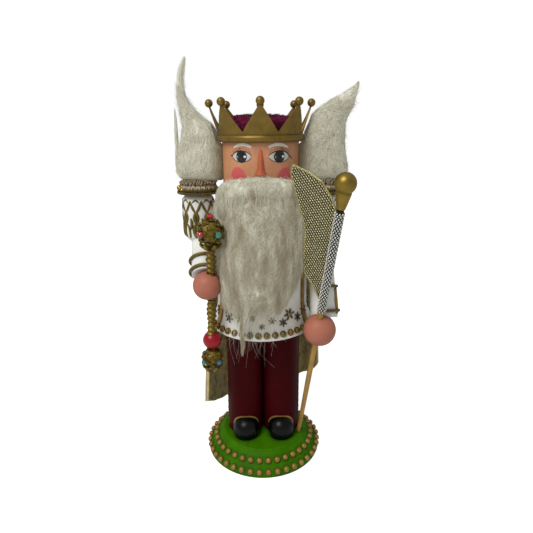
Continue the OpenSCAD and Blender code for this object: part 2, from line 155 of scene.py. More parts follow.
def tubes(paths, radii, sides=3, normals=None, flat=1.0, loop=False):
    """Closed tubes along paths (strand, point, xyz). radii is a number or one value a point.

    normals, where given, point out of the surface that a tube lies on, and flat presses it down.
    """
    paths = np.asarray(paths, float)
    strands, steps, _ = paths.shape
    radii = np.broadcast_to(np.asarray(radii, float), (strands, steps))
    if loop:
        along = unit(np.roll(paths, -1, 1) - np.roll(paths, 1, 1))
    else:
        along = unit(np.gradient(paths, axis=1))
    if normals is None:
        upright = np.abs(along.mean(1)[:, 2]) > 0.7
        normals = np.where(upright[:, None], (1.0, 0.1, 0.0), (0.1, 0.0, 1.0))[:, None]
    across = unit(np.cross(along, np.broadcast_to(normals, paths.shape)))
    out = np.cross(across, along)
    turn = around(sides)
    ring = (across[:, :, None] * np.cos(turn)[:, None]
            + out[:, :, None] * np.sin(turn)[:, None] * flat) * radii[:, :, None, None]
    points = (paths[:, :, None] + ring).reshape(-1, 3)
    s, p, k = np.meshgrid(np.arange(strands), np.arange(steps if loop else steps - 1), np.arange(sides),
                          indexing="ij")
    here, there = (s * steps + p) * sides, (s * steps + (p + 1) % steps) * sides
    nxt = (k + 1) % sides
    faces = [np.stack((here + k, there + k, there + nxt, here + nxt), -1).reshape(-1, 4)]
    if not loop:
        ends = np.arange(strands)[:, None] * steps * sides + np.arange(sides)
        faces += [ends, (ends + (steps - 1) * sides)[:, ::-1]]
    return points, faces


def ball(centre, radius, rows=10, columns=16):
    """A round bead."""
    lat = np.linspace(-np.pi / 2, np.pi / 2, rows + 2)[1:-1, None]
    lon = around(columns)[None]
    sphere = np.stack((np.cos(lat) * np.cos(lon), np.cos(lat) * np.sin(lon), np.sin(lat) + 0 * lon), -1)
    points, faces = closed_loft(sphere)
    points[-2:] = ((0, 0, -1), (0, 0, 1))
    return np.asarray(centre) + points * radius, faces


def merged(shapes):
    """One shape, as points and faces, made of several."""
    points, faces, start = [], [], 0
    for some, groups in shapes:
        points.append(some)
        faces.extend(np.asarray(group) + start for group in groups)
        start += len(some)
    return np.concatenate(points), faces


def piece(name, shape, material, body="figure", smooth=True):
    """A Blender object of that shape that rides on a body."""
    points, faces = shape
    mesh = bpy.data.meshes.new(name)
    mesh.vertices.add(len(points))
    mesh.vertices.foreach_set("co", (points * MM).astype(np.float32).ravel())
    sizes = np.concatenate([np.full(len(group), group.shape[1]) for group in faces])
    mesh.loops.add(int(sizes.sum()))
    corners = np.concatenate([group.ravel() for group in faces])
    mesh.loops.foreach_set("vertex_index", corners.astype(np.int32))
    mesh.polygons.add(len(sizes))
    starts = np.concatenate(([0], np.cumsum(sizes)[:-1]))
    mesh.polygons.foreach_set("loop_start", starts.astype(np.int32))
    mesh.polygons.foreach_set("use_smooth", np.full(len(sizes), smooth))
    mesh.update(calc_edges=True)
    mesh.materials.append(material)
    thing = bpy.data.objects.new(name, mesh)
    bpy.context.scene.collection.objects.link(thing)
    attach(thing, body)
    return thing


# ---------------------------------------------------------------- materials

FLOOR_GLOW = 0.75                              # the floor's own light, which only the camera sees
WOOL_GLOW = 0.1                                # painted light: the wool's own glow, standing in for light that scatters about inside it
WOOL_THIN = 0.15                               # share of light that passes through a fibre


def rgb(red, green, blue):
    """Linear colour of a screen colour given in 0..255."""
    def linear(value):
        value /= 255
        return value / 12.92 if value <= 0.04045 else ((value + 0.055) / 1.055) ** 2.4
    return linear(red), linear(green), linear(blue), 1.0


def shaded(colour, factor):
    return tuple(min(value * factor, 1) for value in colour[:3]) + (1.0,)


class Paint:
    """One procedural material, built step by step. Its lengths are in millimetres."""

    def __init__(self, name):
        self.material = bpy.data.materials.new(name)
        self.material.use_nodes = True
        self.tree = self.material.node_tree
        self.tree.nodes.clear()
        self.end = self.tree.nodes.new("ShaderNodeOutputMaterial")
        spot = self.tree.nodes.new("ShaderNodeTexCoord").outputs["Object"]
        self.place = self.vector("SCALE", {0: spot, "Scale": 1 / MM})

    def add(self, kind, inputs, **settings):
        node = self.tree.nodes.new(kind)
        for key, value in settings.items():
            setattr(node, key, value)
        for key, value in inputs.items():
            if isinstance(value, bpy.types.NodeSocket):
                self.tree.links.new(value, node.inputs[key])
            else:
                node.inputs[key].default_value = value
        return node

    def vector(self, operation, inputs):
        return self.add("ShaderNodeVectorMath", inputs, operation=operation).outputs[0]

    def stretched(self, x, y, z):
        return self.vector("MULTIPLY", {0: self.place, 1: (x, y, z)})

    def noise(self, scale, detail=3.0, rough=0.55, place=None):
        inputs = {"Vector": place or self.place, "Scale": scale, "Detail": detail, "Roughness": rough}
        return self.add("ShaderNodeTexNoise", inputs).outputs[0]

    def wave(self, scale, place=None, axis="X"):
        inputs = {"Vector": place or self.place, "Scale": scale}
        return self.add("ShaderNodeTexWave", inputs, bands_direction=axis).outputs[1]

    def step(self, value, low, high, to_low=0.0, to_high=1.0):
        """value moved from low..high to to_low..to_high, and kept inside it."""
        inputs = {"Value": value, "From Min": low, "From Max": high, "To Min": to_low, "To Max": to_high}
        return self.add("ShaderNodeMapRange", inputs).outputs[0]

    def sum(self, a, b, operation="ADD"):
        return self.add("ShaderNodeMath", {0: a, 1: b}, operation=operation).outputs[0]

    def blend(self, factor, a, b):
        return self.add("ShaderNodeMix", {0: factor, 6: a, 7: b}, data_type="RGBA").outputs[2]

    def two_tone(self, mask, low, high, colour, dark, light):
        """A colour that goes from darker to lighter as the mask goes from low to high."""
        return self.blend(self.step(mask, low, high), shaded(colour, dark), shaded(colour, light))

    def over(self, tone, mask, low, high, share, colour):
        """A share of another colour laid over a tone where the mask is high."""
        return self.blend(self.step(mask, low, high, 0, share), tone, colour)

    def shade_in_hollows(self, tone, reach, share, colour, low=0.3, high=0.95):
        """Painted shade: a share of a dark colour laid over a tone in its crevices, where ambient occlusion
        finds them.
        """
        return self.blend(self.step(self.hollows(reach), low, high, share, 0), tone, colour)

    def hollows(self, reach):
        """1 in the open, falling to 0 in crevices narrower than reach."""
        return self.add("ShaderNodeAmbientOcclusion", {"Distance": reach * MM}, samples=4).outputs["AO"]

    def bump(self, height, depth, under=None):
        inputs = {"Height": height, "Distance": depth * MM, "Strength": 1.0}
        if under:
            inputs["Normal"] = under
        return self.add("ShaderNodeBump", inputs).outputs[0]

    def attribute(self, name):
        return self.add("ShaderNodeAttribute", {}, attribute_name=name).outputs["Fac"]

    def finish(self, **inputs):
        """Ends the material in one Principled surface."""
        surface = self.add("ShaderNodeBsdfPrincipled", {k.replace("_", " "): v for k, v in inputs.items()})
        self.tree.links.new(surface.outputs[0], self.end.inputs["Surface"])
        return self.material


def enamel(name, colour, rough=0.38, coat=0.25, mottle=0.16, crevice_shade=0.35, shine=0.3):
    """Brushed-on paint: faint brush marks, uneven gloss and painted shade in crevices and where pieces meet."""
    p = Paint(name)
    brush = p.noise(0.45, 4, 0.6, p.stretched(1, 1, 0.25))
    blotch = p.noise(0.06, 3)
    grain = p.noise(3.0, 3)
    tone = p.two_tone(blotch, 0.3, 0.7, colour, 1 - mottle, 1 + mottle)
    tone = p.over(tone, brush, 0.55, 0.8, 0.35, shaded(colour, 1 + 2 * mottle))
    # painted shade: the paint darkened in its crevices and where pieces meet
    tone = p.shade_in_hollows(tone, 5, crevice_shade, shaded(colour, 0.25), 0.35)
    normal = p.bump(p.sum(brush, p.sum(grain, 0.3, "MULTIPLY")), 0.12)
    gloss = p.step(blotch, 0.3, 0.7, rough - 0.06, rough + 0.08)
    return p.finish(Base_Color=tone, Roughness=gloss, Coat_Weight=coat, Coat_Roughness=0.25,
                    Specular_IOR_Level=shine, Normal=normal)


def gilt(name, colour, metal=0.75, rough=0.42, grain_size=1.5, depth=0.06, hollow_shade=0.6, reach=3.0):
    """Gold paint: metallic flakes in a binder, with painted shade in its hollows."""
    p = Paint(name)
    flakes = p.noise(grain_size * 2, 4, 0.7)
    blotch = p.noise(0.12, 3)
    tone = p.two_tone(blotch, 0.3, 0.7, colour, 0.8, 1.2)
    tone = p.over(tone, flakes, 0.55, 0.75, 0.5, shaded(colour, 1.7))
    # painted shade: the gold darkened in its hollows
    tone = p.shade_in_hollows(tone, reach, hollow_shade, shaded(colour, 0.12))
    gloss = p.step(flakes, 0.3, 0.7, rough - 0.08, rough + 0.12)
    return p.finish(Base_Color=tone, Metallic=metal, Roughness=gloss, Normal=p.bump(flakes, depth))


def glass(name, colour):
    """A paste stone, with painted light: bright where it faces the viewer and dark at its rim."""
    p = Paint(name)
    depth = p.add("ShaderNodeLayerWeight", {"Blend": 0.35}).outputs["Facing"]
    # painted light: brighter where the stone faces the viewer, darker towards its rim
    tone = p.blend(depth, shaded(colour, 1.5), shaded(colour, 0.35))
    tone = p.over(tone, p.noise(1.2, 2), 0.5, 0.7, 0.35, shaded(colour, 2.2))
    return p.finish(Base_Color=tone, Roughness=0.08, Coat_Weight=1.0, Coat_Roughness=0.04, IOR=1.6)


def bare_wood(name, colour):
    """Pale turned wood, with grain and pores along it."""
    p = Paint(name)
    along = p.stretched(0.12, 1.0, 0.12)
    grain = p.noise(0.8, 5, 0.65, along)
    pores = p.noise(5.0, 2, 0.5, along)
    tone = p.two_tone(grain, 0.35, 0.65, colour, 0.72, 1.15)
    tone = p.over(tone, pores, 0.6, 0.7, 0.4, shaded(colour, 0.45))
    return p.finish(Base_Color=tone, Roughness=0.6, Normal=p.bump(grain, 0.12))


def steel():
    p = Paint("steel")
    scratch = p.noise(2.0, 3, 0.6, p.stretched(0.1, 1, 1))
    tone = p.blend(scratch, rgb(120, 120, 122), rgb(190, 190, 192))
    return p.finish(Base_Color=tone, Metallic=1.0, Roughness=p.step(scratch, 0.3, 0.7, 0.25, 0.45))


def face_paint():
    """Flesh paint with round pink cheeks; brown from the sides of the head round to its back."""
    p = Paint("face_paint")
    y = p.add("ShaderNodeSeparateXYZ", {0: p.place}).outputs["Y"]
    ragged = p.noise(0.5, 4, 0.7)
    fine = p.noise(1.6, 4, 0.7)
    skin = p.blend(p.step(p.noise(0.07, 3), 0.35, 0.65), rgb(188, 127, 88), rgb(206, 146, 104))
    skin = p.over(skin, fine, 0.5, 0.75, 0.4, rgb(232, 178, 142))
    skin = p.blend(p.step(y, -HEAD_R, -HEAD_R * 0.45, 0.0, 0.45), skin, rgb(196, 130, 92))
    for cheek in CHEEKS:
        spot = on_head(*cheek)
        far = p.add("ShaderNodeVectorMath", {0: p.place, 1: spot}, operation="DISTANCE")
        ragged_far = p.sum(far.outputs["Value"], p.step(ragged, 0.3, 0.7, -0.9, 0.9))
        skin = p.blend(p.step(ragged_far, CHEEK_R - 1.6, CHEEK_R + 0.4, 0.9, 0), skin, rgb(206, 78, 84))
    edge = p.sum(y, p.step(ragged, 0.3, 0.7, -1.2, 1.2))
    tone = p.blend(p.step(edge, -9.6, -8.4), skin, rgb(150, 104, 48))
    # painted shade: the skin darkened in its crevices, round the nose and where crown and wool meet the head
    tone = p.shade_in_hollows(tone, 6, 0.45, rgb(70, 34, 20))
    normal = p.bump(p.sum(ragged, p.sum(fine, 0.4, "MULTIPLY")), 0.14)
    return p.finish(Base_Color=tone, Roughness=0.5, Coat_Weight=0.08, Coat_Roughness=0.3, Normal=normal)


def wool(name, tone):
    """Carded wool: soft, matt, with a little light passing through it."""
    p = Paint(name)
    clumps = p.noise(0.09, 3)
    fluff = p.noise(1.1, 4, 0.7)
    shade = p.attribute("shade")
    colour = p.blend(p.step(clumps, 0.3, 0.7), shaded(tone, 0.95), tone)
    colour = p.over(colour, fluff, 0.4, 0.7, 0.2, shaded(tone, 0.86))
    # Low 'shade' turns a point tan and high 'shade' near white: painted shade under the fibres, against the
    # head and down the beard, and random tone from fibre to fibre.
    colour = p.blend(p.step(shade, 0, 0.5, 0.9, 0), colour, rgb(170, 152, 116))
    colour = p.over(colour, shade, 0.5, 1, 0.6, rgb(255, 253, 248))
    # The emission is a painted glow, standing in for light scattered inside the wool.
    surface = p.add("ShaderNodeBsdfPrincipled", {
        "Base Color": colour, "Roughness": 0.95, "Sheen Weight": 0.15, "Sheen Roughness": 0.5,
        "Specular IOR Level": 0.1, "Emission Color": colour, "Emission Strength": WOOL_GLOW,
        "Normal": p.bump(fluff, 0.2)})
    through = p.add("ShaderNodeBsdfTranslucent", {"Color": colour})
    mixed = p.add("ShaderNodeMixShader", {0: WOOL_THIN, 1: surface.outputs[0], 2: through.outputs[0]})
    p.tree.links.new(mixed.outputs[0], p.end.inputs["Surface"])
    return p.material


def velvet():
    """Wine velvet with a crushed nap."""
    p = Paint("velvet")
    nap = p.noise(1.3, 5, 0.75)
    crush = p.noise(0.22, 3, 0.6)
    tone = p.blend(p.step(nap, 0.35, 0.65), rgb(70, 4, 34), rgb(140, 22, 72))
    tone = p.over(tone, crush, 0.45, 0.65, 0.7, rgb(40, 0, 18))
    # painted shade: the velvet darkened in its folds and crevices
    tone = p.shade_in_hollows(tone, 6, 0.7, rgb(20, 0, 8), high=0.9)
    return p.finish(Base_Color=tone, Roughness=0.9, Sheen_Weight=0.8, Sheen_Roughness=0.3,
                    Sheen_Tint=rgb(220, 90, 150), Specular_IOR_Level=0.2, Normal=p.bump(nap, 0.5))


def lace(name, colour):
    """Crinkled metallic lace."""
    p = Paint(name)
    crinkle = p.noise(1.2, 4, 0.7)
    tone = p.two_tone(crinkle, 0.35, 0.65, colour, 0.55, 1.25)
    # painted shade: the lace darkened in its hollows
    tone = p.shade_in_hollows(tone, 3, 0.8, rgb(58, 44, 34), 0.25, 0.9)
    return p.finish(Base_Color=tone, Metallic=0.35, Roughness=0.45, Normal=p.bump(crinkle, 0.3))


def metal_thread(name, colour, metal=0.85, rough=0.3):
    """Flat metallic thread, with glints painted into its colour unevenly; its gloss changes with them."""
    p = Paint(name)
    glint = p.noise(0.9, 2, 0.6)
    tone = p.two_tone(glint, 0.35, 0.65, colour, 0.6, 1.4)
    # painted shade: the thread darkened in its hollows
    tone = p.shade_in_hollows(tone, 1.5, 0.7, shaded(colour, 0.15))
    return p.finish(Base_Color=tone, Metallic=metal, Roughness=p.step(glint, 0.3, 0.7, rough + 0.15, rough))


def brocade():
    """Gold brocade: a ribbed ground with leafy figures in brown and rose thread."""
    p = Paint("brocade")
    drift = p.add("ShaderNodeTexNoise", {"Vector": p.place, "Scale": 0.07, "Detail": 2.0})
    warped = p.vector("ADD", {0: p.place, 1: drift.outputs["Color"]})
    leaf = p.add("ShaderNodeTexVoronoi", {"Vector": warped, "Scale": 0.085}).outputs[0]
    vein = p.noise(0.32, 4, 0.7)
    ribs = p.wave(1.15, axis="Z")
    warp = p.wave(1.9, p.stretched(1, 1, 0), axis="X")
    figure = p.step(p.sum(leaf, p.step(vein, 0.3, 0.7, -0.22, 0.22)), 0.34, 0.42)
    spots = p.step(p.noise(0.17, 2, 0.5), 0.6, 0.66)
    tone = p.blend(figure, rgb(150, 122, 64), rgb(204, 182, 110))
    tone = p.blend(p.sum(spots, 0.6, "MULTIPLY"), tone, rgb(186, 140, 104))
    tone = p.over(tone, vein, 0.56, 0.66, 0.7, rgb(112, 90, 36))
    tone = p.blend(p.sum(ribs, 0.35, "MULTIPLY"), tone, rgb(224, 206, 140))
    # painted shade: the cloth darkened in its folds and where it meets the coat
    tone = p.shade_in_hollows(tone, 8, 0.5, rgb(40, 30, 10))
    normal = p.bump(p.sum(ribs, p.sum(warp, 0.6, "MULTIPLY")), 0.12, p.bump(figure, 0.35))
    return p.finish(Base_Color=tone, Metallic=0.1, Roughness=p.step(vein, 0.3, 0.7, 0.5, 0.7),
                    Sheen_Weight=0.3, Normal=normal)


def mesh_ground(name, colour):
    """The close cloth between metallic threads."""
    p = Paint(name)
    weave = p.sum(p.wave(1.6, axis="X"), p.wave(1.6, axis="Z"), "MULTIPLY")
    patch = p.noise(0.08, 2)
    tone = p.blend(weave, shaded(colour, 0.55), shaded(colour, 1.15))
    tone = p.over(tone, patch, 0.4, 0.65, 0.5, shaded(colour, 1.3))
    return p.finish(Base_Color=tone, Metallic=0.5, Roughness=0.5, Normal=p.bump(weave, 0.15))


def studio_floor():
    p = Paint("studio_floor")
    tone = p.blend(p.noise(0.01, 2), rgb(238, 238, 237), rgb(243, 243, 242))
    seen = p.add("ShaderNodeLightPath", {}).outputs["Is Camera Ray"]
    glow = p.sum(seen, FLOOR_GLOW, "MULTIPLY")
    return p.finish(Base_Color=tone, Roughness=0.9, Specular_IOR_Level=0.1,
                    Emission_Color=rgb(255, 255, 255), Emission_Strength=glow)


# ---------------------------------------------------------------- the face's paint

CHEEKS = ((-35, 332.0), (38, 331.5))          # angle from the front and height
CHEEK_R = 9.6
EYES = ({"inner": -13.3, "outer": -43.7, "iris": -28.1, "z": 351.1},
        {"inner": 11.6, "outer": 44.4, "iris": 27.2, "z": 350.9})
EYE_RISE = 5.2
IRIS_R = 5.9
BROW_Z = 360.2


def on_head(angle, z, lift=0.0):
    """A point on the head, at an angle in degrees from the front towards +X."""
    turn = math.radians(angle)
    reach = HEAD_R + lift
    return reach * math.sin(turn), -reach * math.cos(turn), z


def on_head_many(flat, lift=0.0):
    """Points (angle, height) as points on the head."""
    turn = np.radians(flat[..., 0])
    reach = HEAD_R + lift
    return np.stack((reach * np.sin(turn), -reach * np.cos(turn), flat[..., 1]), -1)


def head_out(points):
    return unit(points * (1, 1, 0))


def paint_patch(outline, lift=0.12, crown=0.15, rings=7):
    """A low pillow of paint on the head, inside an outline of (angle, height) points."""
    centre = outline.mean(0)
    loft = [on_head_many(centre + (outline - centre) * f, lift + crown * (1 - f * f))
            for f in np.linspace(0.08, 1, rings)]
    loft.append(on_head_many(outline, -0.3))
    loft.append(on_head_many(centre + (outline - centre) * 0.5, -1.6))
    return closed_loft(np.array(loft)[::-1])


def paint_stroke(flat, width, lift=0.1, height=0.3, steps=14):
    """A tapered brush stroke on the head through (angle, height) points, with its width in mm."""
    t = np.linspace(0, 1, steps)
    path = on_head_many(spline(np.array(flat, float), t), lift)
    radii = width / 2 * np.sin(np.pi * np.clip(t * 0.86 + 0.08, 0, 1)) ** 0.6
    return tubes(path[None], radii[None], sides=6, normals=head_out(path)[None], flat=height)


def eye_outline(eye, grow=1.0, points=40):
    """An almond: the upper lid rises more than the lower one falls."""
    t = np.linspace(0, 2 * np.pi, points, endpoint=False)
    half = (eye["outer"] - eye["inner"]) / 2 * grow
    middle_angle = (eye["outer"] + eye["inner"]) / 2
    lid = np.where(np.sin(t) > 0, 1.0, 0.98) * EYE_RISE * grow
    rise = lid * np.abs(np.sin(t)) ** 1.15 * np.sign(np.sin(t))
    return np.stack((middle_angle + half * np.cos(t), eye["z"] + rise), -1)


def disc(angle, z, radius, points=28):
    t = np.linspace(0, 2 * np.pi, points, endpoint=False)
    degrees = math.degrees(radius / HEAD_R)
    return np.stack((angle + degrees * np.cos(t), z + radius * np.sin(t)), -1)


def arc_stroke(angle, z, radius, start, end, width, lift):
    """Part of a ring of paint about a point of the head."""
    t = np.radians(np.linspace(start, end, 7))
    degrees = math.degrees(radius / HEAD_R)
    return paint_stroke(np.stack((angle + degrees * np.cos(t), z + radius * np.sin(t)), -1), width, lift)


def make_face():
    white = enamel("eye_white", rgb(198, 196, 186), 0.35, crevice_shade=0.1)
    black = enamel("eye_black", rgb(14, 15, 17), 0.25, 0.5, crevice_shade=0.0)
    grey = enamel("iris_grey", rgb(58, 64, 67), 0.35, crevice_shade=0.0)
    brow_white = enamel("brow_white", rgb(226, 218, 206), 0.5, 0.1, crevice_shade=0.1)
    lash_brown = enamel("lash_brown", rgb(120, 84, 58), 0.5, 0.1, crevice_shade=0.0)
    whites, blacks, greys, lights, brows, shades = [], [], [], [], [], []
    for eye in EYES:
        out = 1 if eye["outer"] > 0 else -1
        whites.append(paint_patch(eye_outline(eye)))
        blacks.append(paint_patch(disc(eye["iris"], eye["z"] + 0.1, IRIS_R), 0.3, 0.2))
        upper = eye_outline(eye, 1.04)[1:20]
        lower = eye_outline(eye, 1.02)[21:40]
        blacks.append(paint_stroke(upper, 1.0, 0.3))
        blacks.append(paint_stroke(lower, 0.45, 0.25))
        for ring, start, end in ((0.78, 100, 250), (0.72, -70, 40), (0.52, 120, 300), (0.34, 150, 330)):
            greys.append(arc_stroke(eye["iris"], eye["z"], IRIS_R * ring, start, end, 0.42, 0.5))
        glint = eye["iris"] + 5.6
        lights.append(paint_patch(disc(glint, eye["z"], 1.25), 0.62, 0.15))
        lights.append(arc_stroke(eye["iris"], eye["z"], IRIS_R * 0.7, 165, 200, 0.5, 0.55))
        for i in range(5):                     # lashes at the outer corner
            root = np.array((eye["outer"] - out * (1 + 3.2 * i), eye["z"] + 0.6 + 1.35 * i))
            tip = root + (out * (3.4 - 0.5 * i), 0.6 + 0.55 * i)
            blacks.append(paint_stroke([root, (root + tip) / 2 - (0, 0.2), tip], 0.5, 0.3))
        tail = np.array((eye["outer"], eye["z"] + 0.4))
        reach = (7.5, -3.4) if out > 0 else (-4.0, 0.3)
        blacks.append(paint_stroke([tail, tail + np.array(reach) * (0.5, 0.35), tail + reach], 0.75, 0.3))
        for i in range(9):                     # the fold above the eye, in short brown touches
            t = np.radians(30 + 15 * i)
            half = (eye["outer"] - eye["inner"]) / 2
            root = np.array(((eye["outer"] + eye["inner"]) / 2 + 1.08 * half * np.cos(t),
                             eye["z"] + 1.2 + 1.05 * EYE_RISE * np.sin(t)))
            shades.append(paint_stroke([root, root + (out * 0.4, 0.8), root + (out * 1.0, 1.7)], 0.5, 0.15))
        for i in range(5):                     # a brow of overlapping strokes
            drop = 0.55 * (i - 2)
            inner, outer = eye["inner"] - out * 0.8, eye["outer"] - out * (1.5 + 0.8 * abs(i - 2))
            arch = [(inner, BROW_Z + drop * 0.9), (inner * 0.66 + outer * 0.34, BROW_Z + 2.1 + drop),
                    (inner * 0.33 + outer * 0.67, BROW_Z + 2.0 + drop), (outer, BROW_Z - 0.6 + drop * 0.6)]
            brows.append(paint_stroke(arch, 1.15, 0.12 + 0.08 * (i % 2), 0.45))
    piece("eye_whites", merged(whites), white)
    piece("eye_lines", merged(blacks), black)
    piece("iris_strokes", merged(greys), grey)
    piece("eye_lights", merged(lights), brow_white)
    piece("brows", merged(brows), brow_white)
    piece("eyelid_strokes", merged(shades), lash_brown)


def make_nose():
    """A long narrow nose that widens into two nostrils."""
    low, high = box("nose")
    foot, top = low[2], high[2]
    rows, columns = 26, 28
    turn = around(columns)
    rings = []
    for t in np.linspace(0, 1, rows):
        z = top + (foot - top) * t
        wide = 1.9 + 2.3 * t + 3.0 * max(0.0, (t - 0.72) / 0.28) ** 1.5
        proud = 0.9 + 5.6 * t ** 1.2
        tip = max(0.0, (t - 0.9) / 0.1)
        close = math.sqrt(max(1 - tip ** 2 * 0.85, 0.02)) * min(1.0, (t + 0.04) * 9)
        across = np.cos(turn)
        out = np.sin(turn)
        ridge = np.where(out > 0, out * proud * (1 - 0.35 * np.abs(across)), out * 1.2)
        wing = np.exp(-((np.abs(across) - 0.75) / 0.22) ** 2) * (out > 0)
        nostril = 1.1 * max(0.0, (t - 0.7) / 0.3) * wing
        rings.append(np.stack((across * wide * close, -(HEAD_R - 0.4) - (ridge + nostril) * close,
                               np.full(columns, z) - 0.8 * t * (1 - np.abs(across))), -1))
    paint = enamel("nose_paint", rgb(186, 96, 62), 0.55, 0.03)
    nose = piece("nose_carved", closed_loft(np.array(rings)[::-1]), paint)
    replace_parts(nose, "nose")


# ---------------------------------------------------------------- wool

CORE_SHADE = 0.5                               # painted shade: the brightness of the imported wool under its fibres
RIM_CONE = (46.6, 0.24)                        # clearance round the crown: radius at its foot, and slope


def clear_of_head(points):
    """Moves points out of the head, and out of the cone in which the crown's points stand."""
    x, y, z = points[..., 0], points[..., 1], points[..., 2]
    reach = np.where(z < RIM_LOW - 3, HEAD_R + 0.5, RIM_CONE[0] + RIM_CONE[1] * (z - RIM_LOW))
    reach = np.where(z > RIM_LOW + 44, 0, reach)
    grow = np.maximum(reach / np.maximum(np.hypot(x, y), 1e-6), 1)
    return np.stack((x * grow, y * grow, z), -1)


class Fleece:
    """A soft closed form of oval slices along a spine.

    A station is (x, y, z, half width, half depth). The width runs along across, the depth along Y.
    settle moves points clear of what the wool lies against.
    """

    def __init__(self, stations, settle, across=(1, 0, 0)):
        self.stations = np.array(stations, float)
        self.settle, self.across = settle, np.array(across, float)
        self.length = np.linalg.norm(np.diff(self.stations[:, :3], axis=0), axis=1).sum()

    def at(self, t, turn, size=1.0, wander=0.0):
        row = spline(self.stations, t)
        size = np.asarray(size, float)[..., None] if np.ndim(size) else size
        wide = row[..., 3:4] * size * np.cos(turn)[..., None] * self.across
        deep = row[..., 4:5] * size * np.sin(turn)[..., None] * (0.0, 1.0, 0.0)
        return self.settle(row[..., :3] + wide + deep + wander)

    def body(self, rows=110, columns=84, size=0.95, clump=1.8, fold=0.6, until=1.0):
        """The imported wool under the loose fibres, with clumps and folds that run along it."""
        t, turn = grid(np.linspace(0, until, rows), columns)
        centre = spline(self.stations, t)[..., :3]
        plain = self.at(t, turn, size)
        out = unit(plain - centre)
        lift = lumps(plain, (clump, 0.06), (fold, (0.33, 0.33, 0.07)), (0.35, 0.6))
        fade = np.sin(np.pi * np.clip(t, 0.02, 0.98)) ** 0.4
        return closed_loft(self.settle(plain + out * (lift * fade)[..., None]))

    def fibres(self, count, length, steps=7, heading=(0, math.pi), spread=0.5, lift=(0.0, 0.8), curl=0.6,
               thick=0.15, inner=0.97, rows=(0.02, 0.98), turns=(0, 2 * math.pi)):
        """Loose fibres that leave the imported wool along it. heading is the way they run, in radians from
        the spine's own, and spread how far they stray from it; lift is how far their tips stand off."""
        t0 = rng.uniform(*rows, count)
        turn0 = rng.uniform(*turns, count)
        way = rng.choice(heading, count) + rng.normal(0, spread, count)
        reach = rng.uniform(*length, count)
        row = spline(self.stations, t0)
        girth = np.maximum((row[:, 3] + row[:, 4]) / 2, 2.5)
        k = np.linspace(0, 1, steps)
        bend = rng.normal(0, 0.5, count)[:, None] * k
        t = t0[:, None] + np.cos(way[:, None] + bend) * k * (reach / self.length)[:, None]
        turn = turn0[:, None] + np.sin(way[:, None] + bend) * k * (reach / girth)[:, None]
        stand = rng.uniform(*lift, count)[:, None] * k ** 2 / girth[:, None]
        phase = rng.uniform(0, 6.28, (count, 3, 1))
        swing = rng.uniform(0.3, 1.0, (count, 3, 1)) * curl * (0.3 + k)
        rate = rng.uniform(3, 9, (count, 3, 1))
        wander = (swing * np.sin(phase + rate * k)).transpose(0, 2, 1)
        path = self.at(t, turn, inner + 0.06 * rng.random(count)[:, None] + stand, wander)
        beyond = np.maximum(t - 1, 0) * self.length
        path[..., 2] += beyond * np.sign(self.stations[-1, 2] - self.stations[0, 2])
        radii = thick * rng.uniform(0.5, 1.6, count)[:, None] * (1 - 0.75 * k ** 1.5)
        return path, radii

    def locks(self, count, start, end, steps=16, thick=0.2, curl=0.5, spray=0.0):
        """Long fibres inside the form that follow it to its far end."""
        t0 = rng.uniform(*start, count)
        t1 = np.maximum(rng.uniform(*end, count), t0 + 0.05)
        k = np.linspace(0, 1, steps)
        t = t0[:, None] + (t1 - t0)[:, None] * k
        turn = rng.uniform(0, 6.28, count)[:, None] + rng.normal(0, 0.6, count)[:, None] * k
        size = np.sqrt(rng.uniform(0, 1, count))[:, None] * (1 + spray * k ** 2)
        phase = rng.uniform(0, 6.28, (count, 3, 1))
        wander = (curl * np.sin(phase + rng.uniform(2, 7, (count, 3, 1)) * k)).transpose(0, 2, 1)
        path = self.at(t, turn, size, wander * k[None, :, None])
        radii = thick * rng.uniform(0.6, 1.2, count)[:, None] * (1 - 0.7 * k ** 2)
        return path, radii


def fibre_shape(*bundles):
    """Fibres as thin closed tubes, and one brightness for each of their points."""
    shapes = [tubes(path, radii) for path, radii in bundles]
    shades = [np.repeat(rng.uniform(0, 1, len(path)), path.shape[1] * 3) for path, _ in bundles]
    return merged(shapes), np.concatenate(shades)


def shade_near_head(points):
    """Painted shade: wool turns warmer and darker where it lies against the head."""
    return np.clip((np.hypot(points[:, 0], points[:, 1]) - HEAD_R) / 15, 0.1, 1)


def beard_shade(points):
    """Painted shade: the beard and moustache darken in streaks below the mouth and down towards the beard's
    end.
    """
    streaks = lumps(points, (1, (0.16, 0.16, 0.03)), (0.6, (0.5, 0.5, 0.09)))
    level = np.interp(points[:, 2], (190, 250, 312, 326), (0.5, 0.42, 0.62, 1.0))
    return np.clip(level + 0.55 * streaks, 0.05, 1)


def wool_piece(name, packed, bundles, node, body="figure", darken=shade_near_head):
    """One tuft of wool that stands for a CAD node: packed wool and the loose fibres over it.

    darken gives each point a share of full brightness, as painted shade.
    """
    (points, faces), shades = fibre_shape(*bundles)
    core_points, core_faces = packed
    shape = merged(((core_points, core_faces), (points, faces)))
    thing = piece(name, shape, WOOL, body)
    layer = thing.data.attributes.new("shade", "FLOAT", "POINT")
    bright = np.concatenate((np.full(len(core_points), CORE_SHADE), shades)) * darken(shape[0])
    layer.data.foreach_set("value", bright.astype(np.float32))
    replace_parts(thing, node)
    return thing


